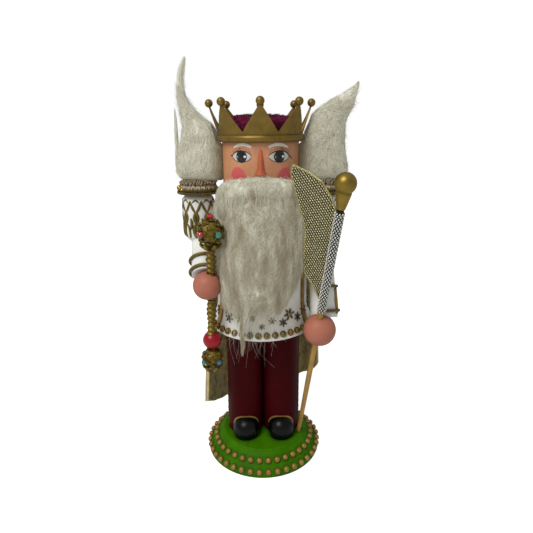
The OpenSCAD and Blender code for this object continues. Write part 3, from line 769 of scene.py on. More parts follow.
HAIR_Y = 6
HAIR_RIGHT = ((-61, HAIR_Y, 325, 19, 12), (-62, HAIR_Y, 329, 24.5, 17), (-62.5, HAIR_Y, 338, 26, 20),
              (-62, HAIR_Y, 352, 24, 20), (-60.5, HAIR_Y, 365, 22.5, 18), (-62, HAIR_Y, 376, 18.5, 15),
              (-69.5, HAIR_Y, 387, 11.5, 10), (-75.5, HAIR_Y, 397, 7.2, 7), (-80, 5, 409, 4.2, 5),
              (-80.2, 5, 421, 3.4, 4), (-79, 5, 432, 2.8, 2.6), (-76.6, 5, 440, 1.7, 1.6),
              (-74.5, 5, 446, 0.5, 0.5))
HAIR_LEFT = ((64, HAIR_Y, 325, 20, 12), (65, HAIR_Y, 329, 25, 17), (65.5, HAIR_Y, 337, 26, 20),
             (64.5, HAIR_Y, 349, 24.5, 20), (64, HAIR_Y, 361, 23.5, 20), (65.5, HAIR_Y, 372, 22, 18),
             (69, HAIR_Y, 382, 18.5, 15), (73, HAIR_Y, 391, 18, 13), (80, 5, 399, 15.5, 10),
             (86, 4, 406, 11, 7.5), (92.5, 3, 412, 6.2, 5), (97.3, 2, 417.5, 2.2, 2.4),
             (99, 1, 421.5, 0.5, 0.5))
HAIR_BACK = ((0, 38, 324, 16, 6), (0, 40, 331, 33, 12), (0, 41, 342, 41, 15), (0, 40, 353, 40, 15),
             (0, 39, 362, 30, 11), (0, 38, 367, 14, 5))
WISP_RIGHT = ((-87, HAIR_Y, 331, 3.2, 4), (-88, HAIR_Y, 345, 2.6, 4), (-87.6, HAIR_Y, 357, 2.2, 3),
              (-87.6, HAIR_Y, 370, 1.6, 2.4), (-87.4, HAIR_Y, 384, 1.2, 1.8), (-87.6, HAIR_Y, 398, 0.3, 0.3))
MOUSTACHE = ((-46, -23, 310, 3, 4), (-41.5, -29, 313.5, 7.5, 7), (-33, -36, 316.5, 10.5, 9),
             (-20, -41.5, 318.5, 11, 10.5), (-6, -44.5, 320.4, 10.6, 11), (6, -44.5, 320.4, 10.6, 11),
             (19, -42, 318.6, 11, 10.5), (30, -36.5, 316.8, 10.5, 9), (38, -29, 313.5, 7.5, 7),
             (42, -23.5, 310, 3, 4))


def make_hair():
    right = Fleece(HAIR_RIGHT, clear_of_head)
    wisp = Fleece(WISP_RIGHT, clear_of_head)
    packed = merged((right.body(until=0.93), wisp.body(40, 16, 0.7, 0.3, 0.3, 0.9)))
    wool_piece("wool_hair_right", packed, (
        right.fibres(5200, (6, 17), spread=0.8, lift=(0.0, 1.6), rows=(0.0, 0.62)),
        right.fibres(1800, (5, 12), spread=1.2, lift=(1.5, 5.0), rows=(0.0, 0.7), thick=0.1),
        right.locks(900, (0.35, 0.75), (0.8, 1.0)),
        right.locks(120, (0.5, 0.8), (0.9, 1.0), spray=0.9, thick=0.12),
        wisp.locks(260, (0.0, 0.5), (0.6, 1.0))), "hair_right")
    left = Fleece(HAIR_LEFT, clear_of_head)
    wool_piece("wool_hair_left", left.body(until=0.93), (
        left.fibres(5200, (6, 17), spread=0.8, lift=(0.0, 1.6), rows=(0.0, 0.66)),
        left.fibres(1800, (5, 12), spread=1.2, lift=(1.5, 5.0), rows=(0.0, 0.75), thick=0.1),
        left.locks(1000, (0.4, 0.75), (0.8, 1.0)),
        left.locks(120, (0.5, 0.8), (0.9, 1.0), spray=0.9, thick=0.12)), "hair_left")
    back = Fleece(HAIR_BACK, clear_of_head)
    wool_piece("wool_hair_back", back.body(), (
        back.fibres(4200, (6, 15), spread=0.9, lift=(0.2, 1.8), rows=(0.0, 1.0)),), "hair_back")


def make_moustache():
    form = Fleece(MOUSTACHE, clear_of_head, across=(0, 0, 1))
    down = form.fibres(4200, (5, 12), heading=(math.pi / 2, -math.pi / 2), spread=0.6, lift=(0.0, 1.6))
    packed = form.body(90, 60, clump=1.6, fold=0.5)
    fuzz = form.fibres(2200, (5, 12), spread=0.8, lift=(0.6, 4.0), thick=0.11)
    wool_piece("wool_moustache", packed, (down, fuzz, drape(form, 2600)), "moustache", darken=beard_shade)


def drape(form, count):
    """Fibres that hang from the moustache over the beard, fewer over the mouth."""
    share = rng.uniform(0, 1, count)
    mouth = np.abs(share - 0.5) < 0.13
    share = np.where(mouth & (rng.random(count) < 0.8), rng.uniform(0.06, 0.3, count), share)
    k = np.linspace(0, 1, 9)
    start = form.at(share, rng.uniform(1.02, 1.42, count) * math.pi, rng.uniform(0.9, 1.02, count))
    drop = rng.uniform(7, 20, count)[:, None] * k
    outward = unit(start * (1, 1, 0)) * rng.uniform(0.6, 2.4, count)[:, None]
    path = start[:, None] + outward[:, None] * np.sin(np.pi * k * 0.7)[:, None]
    path[..., 0] += rng.normal(0, 2.2, count)[:, None] * k ** 1.5
    path[..., 2] -= drop
    radii = 0.14 * rng.uniform(0.6, 1.2, count)[:, None] * (1 - 0.7 * k ** 2)
    return path, radii


BEARD = ((-2, -44, 312, 36, 6), (-2.5, -47, 305, 40, 8), (-1.5, -48.5, 296, 42.5, 9.5),
         (-0.5, -50.5, 284, 43.2, 10.5), (-0.5, -53, 270, 43.2, 11), (-1, -56, 256, 42.5, 11.5),
         (-2.5, -58.5, 242, 41, 11), (-4, -60.5, 228, 38.5, 10), (-6, -62, 215, 34.5, 8),
         (-8.5, -63.5, 204, 30, 6), (-11, -64.5, 195, 25, 4), (-13, -65, 187, 20, 2.6),
         (-15, -65.5, 180, 15, 1.5))
BEARD_WISP = ((-13, -63, 226, 7, 4), (-16, -65.5, 206, 5, 3), (-19, -66.5, 190, 3.4, 2.2),
              (-21, -66.8, 176, 2.4, 1.6), (-20.5, -66.5, 163, 1.6, 1.1), (-21.5, -66, 150, 0.7, 0.7))
WRAP = 0.0075                                  # how the beard bends back round the trunk, per mm across
SCEPTER_GAP = 3.4                              # room kept from the beard to the scepter, coat and pennant
COAT_GAP = 2.8
PENNANT_GAP = 2.2
PENNANT_FOOT = 205
SCEPTER_SHAFT = 5.6
SHOULDER_DROP = 315                            # the coat's top, with room for the beard to drop with the jaw
JAW_DROP = 13


def pennant_plane():
    """A point on the pennant and the direction that points out of its front, away from the figure."""
    points = cad_points("pennant")
    normal = np.linalg.svd(points - points.mean(0), full_matrices=False)[2][2]
    return points.mean(0), normal * -np.sign(normal[1])


def clear_of_coat(points):
    """Moves the beard's wool out of the head, trunk and skirt, the scepter's room and the pennant."""
    x, y, z = points[..., 0], points[..., 1], points[..., 2]
    y = y + WRAP * x ** 2
    flare = np.clip((WAIST - z) / (WAIST - STUD_Z), 0, 1)
    reach = TRUNK_R + (STUD_REACH - TRUNK_R) * flare ** 2 + COAT_GAP
    reach = np.where(z > SHOULDER_DROP, HEAD_R + COAT_GAP, reach)
    reach = np.where(z < HEM_LOW, 0, reach)
    grow = np.where(y < 5, np.maximum(reach / np.maximum(np.hypot(x, y), 1e-6), 1), 1)
    x, y = x * grow, y * grow
    low, high = middle("scepter_pommel"), middle("scepter_head")
    climb = (z - low[2]) / (high[2] - low[2])
    at_x, at_y = (low[i] + (high[i] - low[i]) * climb for i in (0, 1))
    ball_reach = (box("scepter_head")[1] - box("scepter_head")[0])[0] / 2 + SCEPTER_GAP
    top = high[2] + ball_reach + JAW_DROP
    room = np.where((z > high[2] - ball_reach) & (z < top), ball_reach, SCEPTER_SHAFT + SCEPTER_GAP)
    room = np.where((z > top) | (z < low[2]), 0, room)
    dx, dy = x - at_x, y - at_y
    push = np.maximum(room / np.maximum(np.hypot(dx, dy), 1e-6), 1)
    x, y = at_x + dx * push, at_y + dy * push
    moved = np.stack((x, y, z), -1)
    over = (moved - PENNANT_AT) @ PENNANT_OUT + PENNANT_GAP
    behind = np.clip((x - np.interp(z, *PENNANT_EDGE) + 7) / 7, 0, 1) * ((z > PENNANT_FOOT) & (over > 0))
    return moved - (over * behind)[..., None] * PENNANT_OUT


def pennant_edge():
    """Heights and x of the pennant's inner edge, from its lowest corner up."""
    heights, reaches = [], []
    for x, _, z in sorted(cad_points("pennant").tolist(), key=lambda point: point[2]):
        if not reaches or x < reaches[-1] - 0.5:
            heights.append(z)
            reaches.append(x)
    return heights, reaches


STUD_Z = middle("hem_studs")[2]
STUD_REACH = (box("hem_studs")[1] - box("hem_studs")[0])[0] / 2 + 0.8
PENNANT_AT, PENNANT_OUT = pennant_plane()
PENNANT_EDGE = pennant_edge()


def make_beard():
    form = Fleece(BEARD, clear_of_coat)
    front = (math.pi * 0.95, math.pi * 2.05)
    wisp = Fleece(BEARD_WISP, clear_of_coat)
    down = form.fibres(8000, (14, 34), heading=(0,), spread=0.3, lift=(0.0, 1.6), curl=0.9,
                       rows=(0.0, 0.6), turns=front)
    loose = form.fibres(2200, (8, 20), heading=(0,), spread=1.0, lift=(0.5, 3.5), rows=(0.0, 0.7),
                        turns=front, thick=0.11)
    edges = [form.fibres(1400, (8, 18), heading=(0,), spread=0.6, lift=(0.5, 4.0), rows=(0.0, 0.75),
                         turns=turns, thick=0.11) for turns in ((-0.5, 0.4), (math.pi - 0.4, math.pi + 0.5))]
    fringe = form.locks(560, (0.5, 0.7), (0.74, 1.0), steps=20, thick=0.12, curl=2.4)
    hanging = wisp.locks(420, (0.0, 0.5), (0.6, 1.0), steps=20, thick=0.14, curl=0.8)
    packed = merged((form.body(130, 84, 0.93, 2.4, 2.0, 0.64), wisp.body(50, 16, 0.6, 0.4, 0.4, 0.85)))
    wool_piece("wool_beard", packed, (down, loose, *edges, fringe, hanging, stray_hairs()),
               "beard", "beard", darken=beard_shade)


STRAYS = 90
STRAY_Y = -66.5                                # just in front of the hem's studs


def stray_hairs():
    """Single long hairs that hang in front of the coat and trousers."""
    steps = 18
    k = np.linspace(0, 1, steps)
    paths = []
    for _ in range(STRAYS):
        x0 = rng.uniform(-34, 30)
        z0 = rng.uniform(196, 222)
        drop = rng.uniform(18, 62) * (0.6 if x0 > 10 else 1)
        drift, bow = rng.normal(-2, 9), rng.normal(0, 6)
        belly = np.sin(np.pi * k)
        path = np.stack((x0 + drift * k + bow * belly, STRAY_Y - 3 * belly, z0 - drop * k), -1)
        paths.append(clear_of_coat(path))
    return np.array(paths), np.full((STRAYS, steps), 0.12) * (1 - 0.6 * k)


# ---------------------------------------------------------------- cap

NAP_HAIRS = 9000


def make_cap():
    """A gathered velvet cap that fills the crown."""
    low, high = box("velvet_cap")
    reach, foot, rise = (high - low)[0] / 2 - 0.4, low[2], (high - low)[2] - 1.6
    rows, columns = 40, 150
    f, turn = grid(np.linspace(0, 1, rows), columns)
    band = 0.12                                # share of the height that stands upright
    dome = np.cos((f - band) / (1 - band) * np.pi / 2) ** 0.55
    radius = reach * np.where(f < band, 0.86 + 0.14 * f / band, dome)
    height = foot + rise * np.where(f < band, 0.1 * f, np.sin(f * np.pi / 2) ** 0.7)
    pleats = 0.8 * np.sin(turn * 13 + 1.2 * np.sin(3 * turn)) * np.sin(np.pi * f) * np.clip(1.6 * f, 0, 1)
    rings = np.stack((radius * np.cos(turn), radius * np.sin(turn), height), -1)
    bumps = lumps(rings, (1, 0.2), (0.5, 0.75))
    rings[..., 2] += (bumps * 1.1 + pleats * 0.8) * np.clip(4 * f, 0, 1)
    rings[..., :2] *= (1 + (bumps * 0.012 * np.clip(4 * (1 - f), 0, 1)))[..., None]
    rings[..., 2] = np.minimum(rings[..., 2], high[2] + 1.0)
    nap_at = rng.integers(0, rows * columns, NAP_HAIRS)
    roots = rings.reshape(-1, 3)[nap_at] + rng.normal(0, 0.5, (NAP_HAIRS, 3)) * (1, 1, 0.2)
    out = unit(roots - (0, 0, foot - 10)) + rng.normal(0, 0.3, (NAP_HAIRS, 3))
    k = np.array((0, 0.5, 1.0))
    hairs = roots[:, None] + out[:, None] * k[:, None] * rng.uniform(0.6, 1.5, (NAP_HAIRS, 1, 1))
    cloth = merged((closed_loft(rings), tubes(hairs, 0.13 * (1 - 0.7 * k))))
    cap = piece("velvet_dome", cloth, velvet())
    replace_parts(cap, "velvet_cap")


# ---------------------------------------------------------------- shoulders and cuffs

def twisted_cord(centre_line, radius, pitch, loop=False):
    """Two strands wound round a path (point, xyz), like a cord."""
    line = np.asarray(centre_line, float)
    ends = np.vstack((line, line[:1])) if loop else line
    pieces = np.linalg.norm(np.diff(ends, axis=0), axis=1)
    length = pieces.sum()
    turns = max(1, round(length / pitch))
    steps = turns * 9
    s = np.linspace(0, length, steps, endpoint=not loop)
    stations = np.concatenate(([0], np.cumsum(pieces)))
    path = np.stack([np.interp(s, stations, ends[:, i]) for i in range(3)], -1)
    along = unit(np.roll(path, -1, 0) - np.roll(path, 1, 0)) if loop else unit(np.gradient(path, axis=0))
    guess = UP if abs(along[:, 2].mean()) < 0.7 else np.array((1.0, 0, 0))
    across = unit(np.cross(along, guess))
    out = np.cross(across, along)
    phase = s / length * turns * 2 * np.pi
    paths, normals = [], []
    for start in (0, np.pi):
        a = phase + start
        spoke = across * np.cos(a)[:, None] + out * np.sin(a)[:, None]
        paths.append(path + spoke * radius * 0.5)
        normals.append(spoke)
    return tubes(np.array(paths), radius * 0.56, 6, normals=np.array(normals), loop=loop)


def ring_points(x, y, z, radius):
    turn = around(120)
    return np.stack((x + radius * np.cos(turn), y + radius * np.sin(turn), z + 0 * turn), -1)


def make_epaulette(side_name):
    side = SIDE_OF[side_name]
    low, high = box("epaulette_" + side_name)
    x, y = (low + high)[0] / 2, (low + high)[1] / 2
    reach, foot, top = (high - low)[0] / 2, low[2], high[2] + 3.4
    f, turn = grid(np.linspace(0, 1, 30), 288)
    side_share = 0.35                          # the upright side, then the dome
    bend = (f - side_share) / (1 - side_share) * np.pi / 2
    radius = reach * np.where(f < side_share, 0.95 + 0.05 * f / side_share, np.cos(bend) ** 0.5)
    rise = np.where(f < side_share, f / side_share * 0.5, 0.5 + 0.5 * np.sin(bend))
    height = foot + (top - foot - 1.6) * rise
    gathers = np.sin(29 * turn + 2.5 * np.sin(3 * turn) + 5 * f) + 0.5 * np.sin(47 * turn - 7 * f)
    radius = radius + 0.8 * gathers * np.clip(1.6 - 2.2 * f, 0, 1)
    rings = np.stack((x + radius * np.cos(turn), y + radius * np.sin(turn), height), -1)
    rings[..., 2] += lumps(rings, (1, 0.45), (0.7, 1.1)) * 0.8 * np.clip(3 * f - 0.6, 0, 1)
    ruffles = []
    for i, ring in enumerate((4, 7, 10, 13, 16, 18.4)):
        count = 20 + 9 * i
        t = around(count * 8)
        wave = np.sin(t * round(count * 0.7) + 3 * np.sin(2 * t + i))
        r = ring + 1.0 * np.sin(t * (count // 2) + i) + 0.5 * wave
        dome = top - 1.4 - 2.8 * (r / reach) ** 4
        ruffles.append(np.stack((x + r * np.cos(t), y + r * np.sin(t), dome + 1.3 * wave + 0.9), -1)[None])
    frill = [tubes(path, 0.65, 5, loop=True) for path in ruffles]
    cap = piece("lace_" + side_name, merged([closed_loft(rings)] + frill), LACE)
    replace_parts(cap, "epaulette_" + side_name)

    cord_at = middle("epaulette_cord_" + side_name)
    edge = ring_points(x, y, cord_at[2], reach + 1.35)
    scallops = np.copy(edge)
    scallops[:, 2] += 2.6 + 0.8 * np.abs(np.sin(np.linspace(0, 18 * np.pi, len(edge), endpoint=False)))
    cord = merged((twisted_cord(edge, 1.5, 4.6, loop=True), twisted_cord(scallops, 0.8, 3.2, loop=True)))
    trim = piece("cord_" + side_name, cord, OLD_GOLD)
    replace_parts(trim, "epaulette_cord_" + side_name)

    beads = []
    for i in range(7):                         # gold beads round the outer edge, largest in the middle
        angle = math.radians((180 if side < 0 else 0) + side * (-34 + 11.5 * i) + (8 if side < 0 else -8))
        size = 2.3 - 0.16 * abs(i - 3)
        r = reach + 0.6
        z = foot + 5.6 + 1.3 * (i % 2)
        beads.append(ball((x + r * math.cos(angle), y + r * math.sin(angle), z), size))
    for i in range(5):
        angle = math.radians(-120 + 25 * i if side < 0 else -60 - 25 * i)
        r = reach * (0.55 + 0.07 * (i % 2))
        beads.append(ball((x + r * math.cos(angle), y + r * math.sin(angle), top - 0.6), 1.5))
    piece("epaulette_beads_" + side_name, merged(beads), BRIGHT_GOLD)


def hit(tree, start, way):
    """Where a ray first meets a surface, and that surface's outward side."""
    at, normal, _, _ = tree.ray_cast(Vector(start), Vector(way).normalized())
    if at is None:
        raise ValueError(f"no surface from {start} along {way}")
    return np.array(at), np.array(normal)


def on_surface(tree, points, ways, lift):
    """Each point moved along its way onto a surface, and lifted off it."""
    placed, outs = [], []
    for point, way, up in zip(points, ways, np.broadcast_to(lift, len(points))):
        at, normal = hit(tree, point, way)
        if np.dot(normal, way) > 0:
            normal = -normal
        placed.append(at + normal * up)
        outs.append(normal)
    return np.array(placed), np.array(outs)


def round_axis(tree, degrees, heights, axis_x=0.0, lift=0.0, reach=60):
    """Points on an upright turned shape, at angles from the front about its axis, and the way out there."""
    turn = np.radians(degrees)
    ways = np.stack((-np.sin(turn), np.cos(turn), 0 * turn), -1)
    far = np.stack((axis_x + 0 * turn, 0 * turn, heights), -1) - reach * ways
    return on_surface(tree, far, ways, lift)


def relief(tree, flat, axis_x, width):
    """A raised gold line on a sleeve, thin at its ends, through (angle, height) points about axis_x."""
    t = np.linspace(0, 1, 22)
    line = spline(np.array(flat, float), t)
    path, outs = round_axis(tree, line[:, 0], line[:, 1], axis_x)
    radii = width / 2 * (0.35 + 0.65 * np.sin(np.pi * np.clip(t, 0.03, 0.97)))
    return tubes(path[None], radii[None], 8, normals=outs[None], flat=0.75)


SCROLLS = (                                    # width, then points: degrees aside and mm below the lace
    (2.9, (-21, 6), (-12, 13), (0, 19)), (2.9, (21, 6), (12, 13), (0, 19)),
    (4.4, (0, 17), (-5, 24), (0, 31)), (3.4, (0, 17), (7, 23), (2, 31)),
    (4.6, (1, 29), (-8, 36), (-4, 45)), (3.0, (2, 30), (13, 34), (16, 42), (9, 46)),
    (3.8, (-20, 24), (-17, 30), (-21, 36)), (1.8, (-13, 8), (0, 5), (13, 8)))


def make_scrollwork(side_name):
    """Raised gold scrolls on a sleeve: a lattice under the shoulder, leaves below it."""
    tree = cad_surface("arm_" + side_name)
    axis_x = middle("epaulette_" + side_name)[0]
    top = box("epaulette_" + side_name)[0][2]
    lines = []
    for turn in range(-90, 121, 42):
        for width, *points in SCROLLS:
            flat = [(aside - SIDE_OF[side_name] * turn, top - drop) for aside, drop in points]
            lines.append(relief(tree, flat, axis_x, width))
    piece("sleeve_scrolls_" + side_name, merged(lines), OLD_GOLD)


def make_cuff_braid():
    """Gold braid up the outer side of the left cuff, between its two cords."""
    tree = cad_surface("arm_left")
    points = cad_points("cuff_cords_left")
    upper = points[:, 2] > middle("cuff_cords_left")[2]
    t = np.linspace(0, 1, 20)[:, None]
    axis = points[upper].mean(0) * (1 - t) + points[~upper].mean(0) * t
    cords = []
    for angle in range(38, 95, 14):
        turn = np.radians(angle + 3 * np.sin(9 * t[:, 0] + angle))
        way = np.stack((-np.sin(turn), np.cos(turn), 0 * turn), -1)
        path, outs = on_surface(tree, axis - 40 * way, way, 0.3)
        cords.append(tubes(path[None], 1.5, 8, normals=outs[None], flat=0.8))
    piece("cuff_braid_left", merged(cords), OCHRE_GOLD)


# ---------------------------------------------------------------- coat

STUD_SWELL = 1.5                               # how much larger a dome is than the CAD's stud
BEAD_SWELL = 1.25
FLOWER_SWELL = 1.8
OUTSIDE = 100                                  # well outside the coat
FLOWERS = (                                    # angle, height and size
    (33.5, 188.9, 1.0), (11.4, 184.9, 0.6), (-0.6, 179.2, 0.5), (-11.3, 187.4, 0.55), (-42.8, 183.9, 0.85),
    (-49, 191.1, 0.8), (60, 187, 0.95), (-66, 186, 0.9), (24.5, 181.5, 0.7), (46, 183, 0.75),
    (-27, 186, 0.8), (84, 188, 1.0), (-88, 188, 1.0), (108, 186, 0.9), (-112, 186, 0.9), (132, 188, 1.0),
    (-136, 188, 1.0), (158, 186, 0.9), (-160, 187, 0.9), (180, 188, 1.0))


def make_flowers():
    """Small cast flowers glued above the hem, each of six leaves round a bead."""
    angles, heights, sizes = np.array(FLOWERS, float).T
    parts = []
    spots = round_axis(cad_surface("coat_skirt"), angles, heights, reach=OUTSIDE)
    for at, out, size in zip(*spots, sizes * FLOWER_SWELL):
        across = unit(np.cross(UP, out))
        up = np.cross(out, across)
        tilt = rng.uniform(0, 60)
        for i in range(6):
            a = math.radians(60 * i + tilt)
            way = across * math.cos(a) + up * math.sin(a)
            t = np.linspace(0, 1, 7)[:, None]
            path = at + way * (0.6 + 3.3 * t) * size + out * (0.35 + 0.4 * np.sin(np.pi * t))
            radii = 0.75 * size * np.sin(np.pi * np.linspace(0.12, 0.9, 7)) ** 0.8
            parts.append(tubes(path[None], radii[None], 6, normals=out[None, None], flat=0.6))
        parts.append(ball(at + out * 0.8, 0.8 * size, rows=6, columns=10))
    piece("skirt_flowers", merged(parts), DARK_GOLD)


def make_beads(name, node, swell, material):
    """Cast gold beads, each a little lumpy, over the beads of a CAD node."""
    beads = []
    for at, radius in loose_parts(node):
        points, faces = ball(at, radius * swell)
        beads.append((points + unit(points - at) * 0.3 * lumps(points, (1, 0.6))[:, None], faces))
    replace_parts(piece(name, merged(beads), material), node)


COAT_BRAID_PITCH = 7.0                         # length of one wave of the crossing cords
LEG_BRAID_PITCH = 8.5


def make_coat_braid():
    """Braid down each side of the coat's front: crossing cords over a flat tape."""
    points = cad_points("coat_bands")
    tree = cad_surface("trunk", "coat_skirt")
    low, high = box("coat_bands")
    parts = []
    for side in (-1, 1):
        some = points[points[:, 0] * side > 0]
        angle = math.degrees(math.atan2(some[:, 0].mean(), -some[:, 1].mean()))
        zs = np.linspace(low[2] + 1, high[2] - 1, 240)
        for phase, swing, width in ((0, 2.6, 1.7), (math.pi, 2.6, 1.7), (0.5, 0.4, 2.2)):
            wind = zs * 2 * math.pi / COAT_BRAID_PITCH + phase
            up = 0.5 + 0.25 * np.cos(wind)
            path, outs = round_axis(tree, angle + swing * np.sin(wind), zs, 0, up, OUTSIDE)
            parts.append(tubes(path[None], width / 2, 6, normals=outs[None], flat=0.8))
        for edge in (-3.7, 3.7):
            path, _ = round_axis(tree, angle + edge + 0 * zs[::3], zs[::3], 0, 0.35, OUTSIDE)
            parts.append(twisted_cord(path, 0.85, 2.6))
    piece("coat_braid_cords", merged(parts), OCHRE_GOLD)


def make_trouser_braid(side_name):
    """A wavy flat braid up the outer side of a trouser leg."""
    node = "trouser_braid_" + side_name
    low, high = box(node)
    tree = cad_surface("leg_" + side_name)
    axis_x = middle("leg_" + side_name)[0]
    at = cad_points(node).mean(0)
    angle = math.degrees(math.atan2(at[0] - axis_x, -at[1]))
    zs = np.linspace(low[2], high[2] - 0.5, 230)
    parts = []
    for phase, swing, width in ((0, 4.6, 1.3), (math.pi, 4.6, 1.3), (0.3, 1.0, 1.7)):
        wind = zs * 2 * math.pi / LEG_BRAID_PITCH + phase
        path, outs = round_axis(tree, angle + swing * np.sin(wind), zs, axis_x, 0.4 + 0.25 * np.cos(wind))
        parts.append(tubes(path[None], width / 2, 6, normals=outs[None], flat=0.7))
    braid = piece("braid_" + side_name, merged(parts), OLD_GOLD)
    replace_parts(braid, node)


# ---------------------------------------------------------------- scepter

def ball_at(node):
    """Centre and radius of the ball that tops a node's box."""
    low, high = box(node)
    radius = (high - low)[0] / 2
    centre = (low + high) / 2
    centre[2] = high[2] - radius
    return centre, radius


def loose_parts(node):
    """Centre and radius of every separate solid of a node, highest first."""
    mesh = frame["nodes"][node].data
    owner = list(range(len(mesh.vertices)))

    def root(i):
        while owner[i] != i:
            owner[i] = owner[owner[i]]
            i = owner[i]
        return i

    first_at = {}
    for vertex in mesh.vertices:               # seams split a glTF mesh, so equal points are joined first
        key = tuple(round(value / MM, 3) for value in vertex.co)
        owner[vertex.index] = root(first_at.setdefault(key, vertex.index))
    for edge in mesh.edges:
        owner[root(edge.vertices[0])] = root(edge.vertices[1])
    groups = {}
    for vertex in mesh.vertices:
        groups.setdefault(root(vertex.index), []).append(np.array(vertex.co) / MM)
    parts = []
    for points in groups.values():
        low, high = np.min(points, 0), np.max(points, 0)
        parts.append(((low + high) / 2, (high - low)[0] / 2))
    return sorted(parts, key=lambda part: (-round(part[0][2] / 4), part[0][0]))


def about(centre, axis, across, deep, s, turn, radius):
    """Points at a length s along an axis, turned about it at a radius."""
    spoke = np.cos(turn)[..., None] * across + np.sin(turn)[..., None] * deep
    return centre + s[..., None] * axis + np.asarray(radius)[..., None] * spoke


def frame_about(axis):
    """Two directions square to an axis and to each other."""
    across = unit(np.cross(UP if abs(axis[2]) < 0.9 else np.array((0.0, 1.0, 0.0)), axis))
    return across, np.cross(axis, across)


def spread_on_ball(count):
    """Directions spread evenly over a ball."""
    i = np.arange(count) + 0.5
    z = 1 - 2 * i / count
    turn = i * math.pi * (1 + 5 ** 0.5)
    r = np.sqrt(1 - z * z)
    return np.stack((r * np.cos(turn), r * np.sin(turn), z), -1)


def filigree_ball(centre, radius, axis, curls, curl_r):
    """A rough core covered with wire curls and beads, with petals below it."""
    across, deep = frame_about(axis)
    lat, lon = (angle[..., None] for angle in grid(np.linspace(-np.pi / 2, np.pi / 2, 28)[1:-1], 44))
    way = np.cos(lat) * np.cos(lon) * across + np.cos(lat) * np.sin(lon) * deep + np.sin(lat) * axis
    rough = lumps(way, (0.9, radius * 0.7))
    parts = [closed_loft(centre + way * (radius - 2.3 + rough)[..., None])]
    k = np.linspace(0, 1, 22)
    for n, out in enumerate(spread_on_ball(curls)):
        out = across * out[0] + deep * out[1] + axis * out[2]
        e1, e2 = frame_about(out)
        turn = k * 2 * np.pi * 1.6 + n * 2.4
        r = curl_r * (0.15 + 0.85 * k)
        spot = out * (radius - 1.1) + (e1 * np.cos(turn)[:, None] + e2 * np.sin(turn)[:, None]) * r[:, None]
        path = centre + unit(spot) * (radius - 0.9 + 0.35 * np.sin(n + k * 5))[:, None]
        parts.append(tubes(path[None], (0.72 * (1 - 0.25 * k))[None], 6))
        parts.append(ball(centre + out * (radius - 0.5), 0.95, rows=5, columns=9))
        beside = unit(out * radius + e1 * curl_r * 1.25)
        parts.append(ball(centre + beside * (radius - 0.7), 0.75, rows=4, columns=8))
    for i in range(6):                         # petals that cup the ball from below
        turn = 2 * math.pi * i / 6
        spoke = across * math.cos(turn) + deep * math.sin(turn)
        t = np.linspace(0, 1, 10)
        out, down = 4.6 + 5.6 * np.sin(t * 1.7), radius + 2.6 - 6.8 * t
        path = centre + spoke * out[:, None] - axis * down[:, None]
        width = 2.7 * np.sin(np.pi * (0.12 + 0.8 * t)) ** 0.7
        parts.append(tubes(path[None], width[None], 10, normals=spoke, flat=0.6))
    return merged(parts)


STONE_CUT = (                                  # each ring's reach, rise and turn, from the back to the table
    (0.62, -0.55, 18), (1.0, 0.0, 0), (0.97, 0.18, 0), (0.78, 0.55, 18), (0.48, 0.78, 0))


def stone(centre, radius, out):
    """A cut stone: a flat table, a ring of facets and a girdle, facing out."""
    e1, e2 = frame_about(out)
    rings = []
    for reach, rise, twist in STONE_CUT:
        turn = around(10)[:, None] + math.radians(twist)
        rings.append(centre + radius * (reach * (np.cos(turn) * e1 + np.sin(turn) * e2) + rise * out))
    return closed_loft(np.array(rings))


HEAD_SWELL = 1.3                               # how far the wire curls stand out of the CAD's ball


def make_scepter():
    head, head_r = ball_at("scepter_head")
    pommel, pommel_r = ball_at("scepter_pommel")
    axis = unit(head - pommel)
    across, deep = frame_about(axis)
    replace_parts(piece("filigree_head", filigree_ball(head, head_r + HEAD_SWELL, axis, 34, 2.8), SCEPTER_GILT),
                "scepter_head")
    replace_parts(piece("filigree_pommel", filigree_ball(pommel, pommel_r, axis, 28, 2.4), SCEPTER_GILT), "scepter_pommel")

    red_ball, red_r = ball_at("scepter_ball")
    foot, top = np.dot(red_ball - pommel, axis) + red_r * 0.7, np.dot(head - pommel, axis) - head_r * 0.8
    s, turn = grid(np.linspace(foot, top, 260), 28)
    twist = np.cos(2 * np.pi * s / 5.4 + turn)
    grain = lumps(np.stack((s, turn * 2, 0 * s), -1), (0.25, 1))
    radius = 4.35 + 0.75 * twist + grain + 0.5 * np.cos(2 * np.pi * s / 27)
    rings = about(pommel, axis, across, deep, s, turn, radius)
    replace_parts(piece("ribbed_shaft", closed_loft(rings), SCEPTER_GILT), "scepter_shaft")

    colours = {"ruby": rgb(150, 12, 30), "teal": rgb(26, 108, 92), "blue": rgb(16, 82, 122)}
    kinds = ("ruby", "ruby", "teal", "teal", "blue")
    for i, (kind, (at, radius)) in enumerate(zip(kinds, loose_parts("scepter_gems"))):
        core = head if np.linalg.norm(at - head) < np.linalg.norm(at - pommel) else pommel
        lift = 0.4 + (HEAD_SWELL if core is head else 0)
        shape = stone(at + unit(at - core) * lift, radius * 1.1, unit(at - core))
        paste = glass(f"glass_{i}", colours[kind])
        gem = piece(f"stone_{i + 1}_{kind}", shape, paste, smooth=False)
        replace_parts(gem, "scepter_gems")


# ---------------------------------------------------------------- staff

def staff_frame():
    """The staff's axis, its two square directions, and the finial's centre."""
    axis = next(np.array(joint["axis"], float) for joint in frame["joints"] if joint["name"] == "staff_lift")
    axis = unit(axis)
    return axis, *frame_about(axis), ball_at("staff_finial")[0]


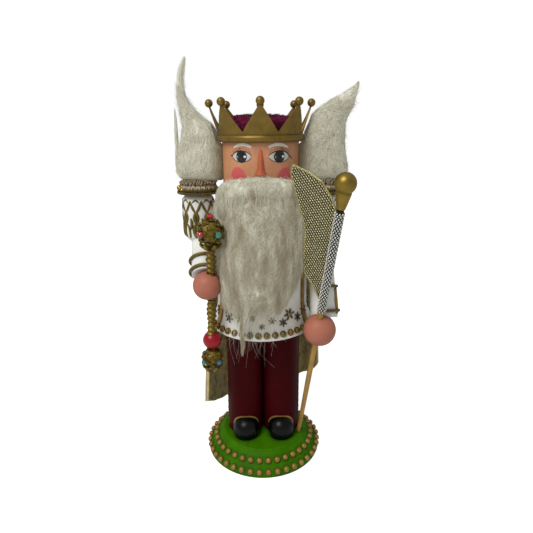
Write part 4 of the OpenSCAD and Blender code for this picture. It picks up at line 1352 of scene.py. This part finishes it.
def make_sleeve():
    """A braided metal tube over the rod: wires that cross over and under each other."""
    axis, across, deep, finial = staff_frame()
    along = (cad_points("staff_sleeve") - finial) @ axis
    start, end = along.min(), along.max()
    reach = np.linalg.norm(np.cross(cad_points("staff_sleeve") - finial, axis), axis=1).max()
    wires, row_gap, bent = 9, 2.3, np.linspace(-1, 1, 5)
    rows = int((end - start - 1) / row_gap)
    row, column = np.meshgrid(np.arange(rows), np.arange(wires), indexing="ij")
    s = (start + 0.8 + row * row_gap)[..., None] + 1.0 * bent
    lean = np.where(row % 2, 1, -1)[..., None]
    turn = (2 * np.pi * (column + 0.5 * (row % 2)) / wires)[..., None] + lean * bent * 0.16
    path = about(finial, axis, across, deep, s, turn, reach - 0.1 - 0.35 * bent ** 2)
    radii = np.broadcast_to(0.78 * np.sqrt(1 - 0.75 * bent ** 2), (rows * wires, 5))
    stitches = tubes(path.reshape(-1, 5, 3), radii, 6)
    braid = piece("braided_sleeve", stitches, metal_thread("silver_wire", rgb(236, 232, 216), 0.5, 0.3),
                  "staff")
    # A near-black core inside the wires: painted shade that shows through the gaps of the braid.
    s, turn = grid(np.linspace(start, end, 40), 26)
    core = about(finial, axis, across, deep, s, turn, reach - 0.95 + 0.1 * np.cos(wires * turn))
    piece("sleeve_shade_core", closed_loft(core), mesh_ground("braid_gap_shade", rgb(34, 30, 20)), "staff")
    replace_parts(braid, "staff_sleeve")


class Flag:
    """The pennant's own flat frame: u runs out from the staff, s up along it."""

    def __init__(self):
        self.axis, _, _, self.origin = staff_frame()
        points = cad_points("pennant")
        self.out = PENNANT_OUT
        self.away = unit(np.cross(self.axis, self.out))
        if (points - self.origin).mean(0) @ self.away < 0:
            self.away = -self.away
        rel = points - self.origin
        flat = np.unique(np.round(np.stack((rel @ self.away, rel @ self.axis), -1), 1), axis=0)
        middle_of = flat.mean(0)
        order = np.argsort(np.arctan2(*(flat - middle_of).T[::-1]))
        self.outline = flat[order]
        self.level = float((rel @ self.out).mean())

    def place(self, u, s, lift=0.0):
        """Points of the cloth, which waves a little towards its free edge."""
        wave = 1.3 * np.sin(s / 17 + u / 30) * np.clip(u / 40, 0, 1) - 0.6 * np.clip(u / 60, 0, 1) ** 2
        return self.origin + u[..., None] * self.away + s[..., None] * self.axis \
            + (self.level + wave + lift)[..., None] * self.out

    def span(self, s):
        """Lowest and highest u of the outline at each s."""
        a, b = self.outline, np.roll(self.outline, -1, 0)
        lows, highs = [], []
        for value in np.ravel(s):
            crossing = (np.minimum(a[:, 1], b[:, 1]) <= value) & (np.maximum(a[:, 1], b[:, 1]) >= value)
            some = crossing & (np.abs(b[:, 1] - a[:, 1]) > 1e-6)
            u = a[some, 0] + (b - a)[some, 0] * (value - a[some, 1]) / (b - a)[some, 1]
            lows.append(u.min())
            highs.append(u.max())
        return np.array(lows), np.array(highs)

    def inside(self, u, s):
        low_s, high_s = self.outline[:, 1].min(), self.outline[:, 1].max()
        levels = np.linspace(low_s + 0.01, high_s - 0.01, 300)
        lows, highs = self.span(levels)
        across = (u > np.interp(s, levels, lows)) & (u < np.interp(s, levels, highs))
        return across & (s > low_s) & (s < high_s)

    def threads(self, angle, gap_between, pitch, thick, phase):
        """Threads across the cloth that pass over and under it."""
        c, sn = math.cos(math.radians(angle)), math.sin(math.radians(angle))
        centre = self.outline.mean(0)
        shapes = []
        for i, offset in enumerate(np.arange(-80, 80, gap_between)):
            t = np.arange(-90, 90, pitch / 6)
            u = centre[0] + t * c - offset * sn
            s = centre[1] + t * sn + offset * c
            within = self.inside(u, s)
            if within.sum() < 18:
                continue
            first, last = np.argmax(within), len(within) - np.argmax(within[::-1])
            u, s, t = u[first:last], s[first:last], t[first:last]
            lift = 0.42 * np.cos(2 * np.pi * t / pitch + np.pi * i + phase)
            path = self.place(u, s, lift)
            shapes.append(tubes(path[None], thick, 4, normals=self.out, flat=0.6))
        return shapes


def make_pennant():
    """The pennant: a close metallic cloth, threads woven through it and a bound edge."""
    flag = Flag()
    low_s, high_s = flag.outline[:, 1].min() + 0.02, flag.outline[:, 1].max() - 0.02
    rows, columns = 110, 44
    s = np.linspace(low_s, high_s, rows)
    lows, highs = flag.span(s)
    u = lows[:, None] + (highs - lows)[:, None] * np.linspace(0, 1, columns)
    s = np.broadcast_to(s[:, None], u.shape)
    half = 0.16
    front, back = flag.place(u, s, half), flag.place(u, s, -half)
    count = rows * columns
    along, up = np.arange(columns - 1), np.arange(rows - 1) * columns
    edge = np.concatenate((along, up + columns - 1, count - 1 - along, count - columns - up))
    nxt = np.roll(edge, -1)
    faces = grid_faces(rows, columns)
    rim = np.stack((edge, nxt, nxt + count, edge + count), -1)
    cloth = piece("pennant_cloth", (np.concatenate((front.reshape(-1, 3), back.reshape(-1, 3))),
                                    [faces[:, ::-1], faces + count, rim]),
                  mesh_ground("pennant_ground", rgb(70, 62, 32)), "staff")
    weft = piece("pennant_weft", merged(flag.threads(38, 2.6, 2.6, 0.72, 0)),
                 metal_thread("weft_thread", rgb(222, 215, 176), 0.5, 0.34), "staff")
    warp = piece("pennant_warp", merged(flag.threads(-50, 2.6, 2.6, 0.45, math.pi / 2)),
                 metal_thread("warp_thread", rgb(150, 136, 78), 0.6, 0.4), "staff")
    closed = np.vstack((flag.outline, flag.outline[:1]))
    lengths = np.concatenate(([0], np.cumsum(np.linalg.norm(np.diff(closed, axis=0), axis=1))))
    t = np.linspace(0, lengths[-1], 260, endpoint=False)
    round_it = np.stack([np.interp(t, lengths, closed[:, i]) for i in (0, 1)], -1)
    path = flag.place(round_it[:, 0], round_it[:, 1])
    binding = piece("pennant_binding", tubes(path[None], 1.0, 8, normals=flag.out, flat=0.6, loop=True),
                    metal_thread("binding", rgb(172, 160, 104), 0.5, 0.4), "staff")
    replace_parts(cloth, "pennant")


# ---------------------------------------------------------------- cape

CAPE_TOP = {"x": 0, "y": 2.6, "z": 315.0, "r": 53.6}
CAPE_LOW = {"x": 5.9, "y": 23.1, "z": 12.0, "r": 80.0}
CAPE_VENT = {"half": 13.0, "top": 307.5}
HEM = {"z": 81.0, "by_x": 0.33, "by_y": -0.6}      # the hem lies in a plane that falls towards the back
CAPE_THICK = 1.3


def cape_point(side, across, down):
    """A point of one half of the cape: across runs from its front edge to the vent, down from top to hem."""
    x, y = side * 60.0, 40.0
    for _ in range(8):                         # the hem slopes, so the height settles in a few rounds
        hem = HEM["z"] + HEM["by_x"] * x + HEM["by_y"] * y
        z = CAPE_TOP["z"] + (hem - CAPE_TOP["z"]) * down
        f = (CAPE_TOP["z"] - z) / (CAPE_TOP["z"] - CAPE_LOW["z"])
        cx, cy, r = (CAPE_TOP[key] + (CAPE_LOW[key] - CAPE_TOP[key]) * f for key in ("x", "y", "r"))
        if side < 0:
            front_y = np.interp(z, (150, 215), (3, 22))
        else:
            front_y = np.interp(z, (30, 200), (58, 22))
        front = np.arccos(np.clip((front_y - cy) / r, -1, 1))
        vent = np.arcsin((CAPE_VENT["half"] - side * cx) / r)
        turn = front + (vent - front) * across
        x, y = cx + side * r * np.sin(turn), cy + r * np.cos(turn)
    loose = down ** 1.3
    edge = np.sin(np.pi * np.clip(across, 0, 1)) ** 0.5
    broad = 3.2 * np.sin(across * 12.5 + 1.7 * side + 1.5 * down)
    narrow = 1.6 * np.sin(across * 23 - 2 * down)
    fold = (broad + narrow) * loose * edge + 1.2 * np.sin(down * 9 + across * 4) * edge * down
    radius = r - 1.4 + fold
    near_front, near_hem = np.clip(1 - across / 0.16, 0, 1), np.clip((down - 0.93) / 0.07, 0, 1)
    corner = 6 * near_front ** 2 * near_hem ** 2 * (side > 0)
    return np.stack((cx + side * radius * np.sin(turn), cy + radius * np.cos(turn), z + corner), -1)


def make_cape():
    """A stiff brocade cape in two tails that part behind for the lever."""
    rows, columns = 130, 60
    first = (CAPE_TOP["z"] - CAPE_VENT["top"]) / (CAPE_TOP["z"] - HEM["z"] - HEM["by_y"] * CAPE_LOW["r"])
    down = np.concatenate((np.linspace(0, first, 5)[:-1], np.linspace(first, 1, rows - 4)))
    d, a = np.meshgrid(down, np.linspace(0, 1, columns), indexing="ij")
    halves = [cape_point(side, a, d) for side in (-1, 1)]
    count = rows * columns
    faces = grid_faces(rows, columns)
    over = []
    for row in range(4):                       # the yoke joins both halves above the vent
        left, right = row * columns + columns - 1, count + row * columns + columns - 1
        over.append((left, right, right + columns, left + columns))
    points = np.concatenate([half.reshape(-1, 3) for half in halves])
    plain = (points, [faces, faces[:, ::-1] + count, np.array(over)])
    area = sheet_area(plain)
    cape = piece("brocade_cape", plain, brocade())
    thicken(cape, CAPE_THICK)
    widths = [np.linalg.norm(np.diff(half, axis=1), axis=-1).sum(1).max() for half in halves]
    length = max(np.linalg.norm(np.diff(half, axis=0), axis=-1).sum(0).max() for half in halves)
    bindings = []
    for half in halves:
        route = np.concatenate((half[:, 0], half[-1, 1:], half[::-1, -1][1:-4]))[::2]
        bindings.append(tubes(route[None], 1.5, 8))
    pale_gold = gilt("cape_edge", rgb(206, 188, 128), 0.1, 0.55, 1.2, 0.15)
    rim = piece("cape_binding", merged(bindings), pale_gold)
    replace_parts(cape, "cape")


def sheet_area(shape):
    points, groups = shape
    total = 0.0
    for group in groups:
        a, b, c, d = (points[group[:, i]] for i in range(4))
        total += np.linalg.norm(np.cross(c - a, d - b), axis=1).sum() / 2
    return total


def thicken(thing, thickness):
    """Gives a sheet its thickness, as a closed mesh."""
    solid = thing.modifiers.new("thickness", "SOLIDIFY")
    solid.thickness = thickness * MM
    solid.offset = 0.0
    bpy.context.view_layer.update()
    result = bpy.data.meshes.new_from_object(thing.evaluated_get(bpy.context.evaluated_depsgraph_get()))
    thing.modifiers.clear()
    thing.data = result


# ---------------------------------------------------------------- the CAD nodes that stay

def dress(material, *nodes):
    for node in nodes:
        mesh = frame["nodes"][node].data
        mesh.materials.clear()
        mesh.materials.append(material)


def make_leg_seam():
    """Paint and glue that fill the narrow gap between the trouser legs."""
    low, high = box("leg_right")
    k = np.linspace(0, 1, 24)
    path = np.stack((0 * k, 0 * k, low[2] + 8 + (high[2] - low[2] - 10) * k), -1)
    piece("leg_seam", tubes(path[None], (2.2 + 0.2 * np.sin(9 * k))[None], 12), BURGUNDY)


def dress_frame():
    # The sixth argument of enamel and the seventh of gilt is the share of painted shade in crevices.
    dress(enamel("green_enamel", rgb(58, 112, 0), 0.55, 0.0, 0.2, 0.9, 0.06), "base_plinth")
    dress(BURGUNDY, "leg_right", "leg_left")
    dress(enamel("black_gloss", rgb(5, 6, 6), 0.3, 0.08, 0.2, 0.0, 0.16), "shoe_right", "shoe_left")
    dress(gilt("piping_cord", rgb(166, 132, 66), 0.5, 0.45), "shoe_piping")
    dress(enamel("coat_paint", rgb(236, 236, 229), 0.42, 0.12, 0.04, 0.45), "coat_skirt", "trunk",
          "arm_right", "arm_left")
    dress(face_paint(), "head")
    dress(enamel("hand_paint", rgb(176, 108, 86), 0.52, 0.03, 0.07, 0.45), "hand_right", "hand_left")
    dress(CROWN_GOLD, "crown", "crown_balls")
    dress(enamel("ball_gloss", rgb(146, 4, 18), 0.32, 0.2, 0.1, 0.4), "scepter_ball")
    dress(gilt("rod_paint", rgb(172, 134, 66), 0.35, 0.45, 1.0, 0.1, 0.6), "staff_rod")
    finial_paint = gilt("finial_paint", rgb(140, 116, 46), 0.75, 0.38, 1.6, 0.05, 0.5, 6)
    dress(finial_paint, "staff_finial", "staff_collar")
    dress(OLD_GOLD, "cuff_cords_right", "cuff_cords_left")
    dress(OCHRE_GOLD, "coat_bands")
    dress(bare_wood("lever_wood", rgb(202, 164, 120)), "jaw_lever")
    dress(bare_wood("dowel_wood", rgb(210, 178, 134)), "leg_dowels", "trunk_dowel", "head_dowels",
          "shoulder_dowels")
    dress(steel(), "pivot_pin")


# ---------------------------------------------------------------- camera, light and floor

CAMERA_AT = (0, -0.4992, 0.3814)
CAMERA_TURN = (17.01, 0.594, -0.443)           # pitch down, yaw and roll, in degrees
LENS, SENSOR = 31.5, 36
FILL = 0.4                                     # the white surround's own light on the figure
KEY_AT, KEY_SIZE, KEY_POWER = (-0.7, -0.9, 1.6), 0.9, 20
AIM = (0, 0, 0.22)                             # the figure's middle
FLOOR_HALF = 6.0


def place_camera():
    """The photographer's place: in front, a little above the crown's height, looking down."""
    pitch, yaw, roll = (math.radians(a) for a in CAMERA_TURN)
    forward = Vector((math.sin(yaw) * math.cos(pitch), math.cos(yaw) * math.cos(pitch), -math.sin(pitch)))
    level = forward.cross(Vector((0, 0, 1))).normalized()
    upright = level.cross(forward)
    right = level * math.cos(roll) + upright * math.sin(roll)
    top = upright * math.cos(roll) - level * math.sin(roll)
    data = bpy.data.cameras.new("camera")
    data.lens = LENS
    data.sensor_width = SENSOR
    data.clip_start = 0.01
    camera = bpy.data.objects.new("camera", data)
    bpy.context.scene.collection.objects.link(camera)
    turn = Matrix((right, top, -forward)).transposed().to_4x4()
    camera.matrix_world = Matrix.Translation(CAMERA_AT) @ turn
    bpy.context.scene.camera = camera


def soft_light(name, at, size, power):
    data = bpy.data.lights.new(name, "AREA")
    data.shape = "DISK"
    data.size = size
    data.energy = power
    light = bpy.data.objects.new(name, data)
    bpy.context.scene.collection.objects.link(light)
    light.location = at
    light.rotation_euler = (Vector(AIM) - Vector(at)).to_track_quat("-Z", "Y").to_euler()


def make_studio():
    world = bpy.data.worlds.new("studio")
    world.use_nodes = True
    back = world.node_tree.nodes["Background"]
    back.inputs["Color"].default_value = (1, 1, 1, 1)
    seen = world.node_tree.nodes.new("ShaderNodeLightPath").outputs["Is Camera Ray"]
    level = world.node_tree.nodes.new("ShaderNodeMapRange")
    level.inputs["To Min"].default_value = FILL
    world.node_tree.links.new(seen, level.inputs["Value"])
    world.node_tree.links.new(level.outputs[0], back.inputs["Strength"])
    bpy.context.scene.world = world
    bpy.context.scene.view_settings.view_transform = "Standard"
    soft_light("key", KEY_AT, KEY_SIZE, KEY_POWER)
    corners = [(x * FLOOR_HALF, y * FLOOR_HALF, 0) for x, y in ((-1, -1), (1, -1), (1, 1), (-1, 1))]
    mesh = bpy.data.meshes.new("floor")
    mesh.from_pydata(corners, [], [(0, 1, 2, 3)])
    mesh.materials.append(studio_floor())
    floor = bpy.data.objects.new("floor", mesh)
    bpy.context.scene.collection.objects.link(floor)


# ---------------------------------------------------------------- the whole figure

# The sixth argument of enamel and the seventh of gilt is the share of painted shade in crevices.
BURGUNDY = enamel("burgundy_satin", rgb(62, 4, 8), 0.46, 0.0, 0.14, 0.8, 0.05)
WOOL = wool("carded_wool", rgb(243, 243, 226))
CROWN_GOLD = gilt("crown_gold", rgb(126, 102, 44), 0.7, 0.42, 1.4, 0.05, 0.6, 5)
OLD_GOLD = gilt("old_gold", rgb(112, 94, 32), 0.5, 0.45, 1.6, 0.15, 0.8, 2.5)
DARK_GOLD = gilt("dark_gold", rgb(96, 82, 34), 0.6, 0.42, 1.6, 0.12, 0.8, 2.5)
STUD_GOLD = gilt("stud_gold", rgb(122, 98, 40), 0.8, 0.38, 1.6, 0.1, 0.8, 3)
BEAD_BRONZE = gilt("bead_bronze", rgb(156, 124, 60), 0.5, 0.5, 2.2, 0.12, 0.7, 4)
BRIGHT_GOLD = gilt("bright_gold", rgb(196, 160, 72), 0.95, 0.22, 1.0, 0.03, 0.6, 3)
OCHRE_GOLD = gilt("ochre_gold", rgb(168, 134, 52), 0.4, 0.45, 1.6, 0.15, 0.7, 2.5)
SCEPTER_GILT = gilt("scepter_gilt", rgb(124, 104, 34), 0.6, 0.4, 1.5, 0.12, 0.9, 4)
LACE = lace("lace_silver", rgb(172, 156, 128))

place_camera()
make_studio()
dress_frame()
make_face()
make_nose()
make_hair()
make_moustache()
make_beard()
make_cap()
for side_name in SIDE_OF:
    make_epaulette(side_name)
    make_scrollwork(side_name)
    make_trouser_braid(side_name)
make_beads("stud_domes", "hem_studs", STUD_SWELL, STUD_GOLD)
for row in ("lower", "upper"):
    make_beads("bead_ring_" + row, "base_beads_" + row, BEAD_SWELL, BEAD_BRONZE)
make_flowers()
make_leg_seam()
make_cuff_braid()
make_coat_braid()
make_scepter()
make_sleeve()
make_pennant()
make_cape()
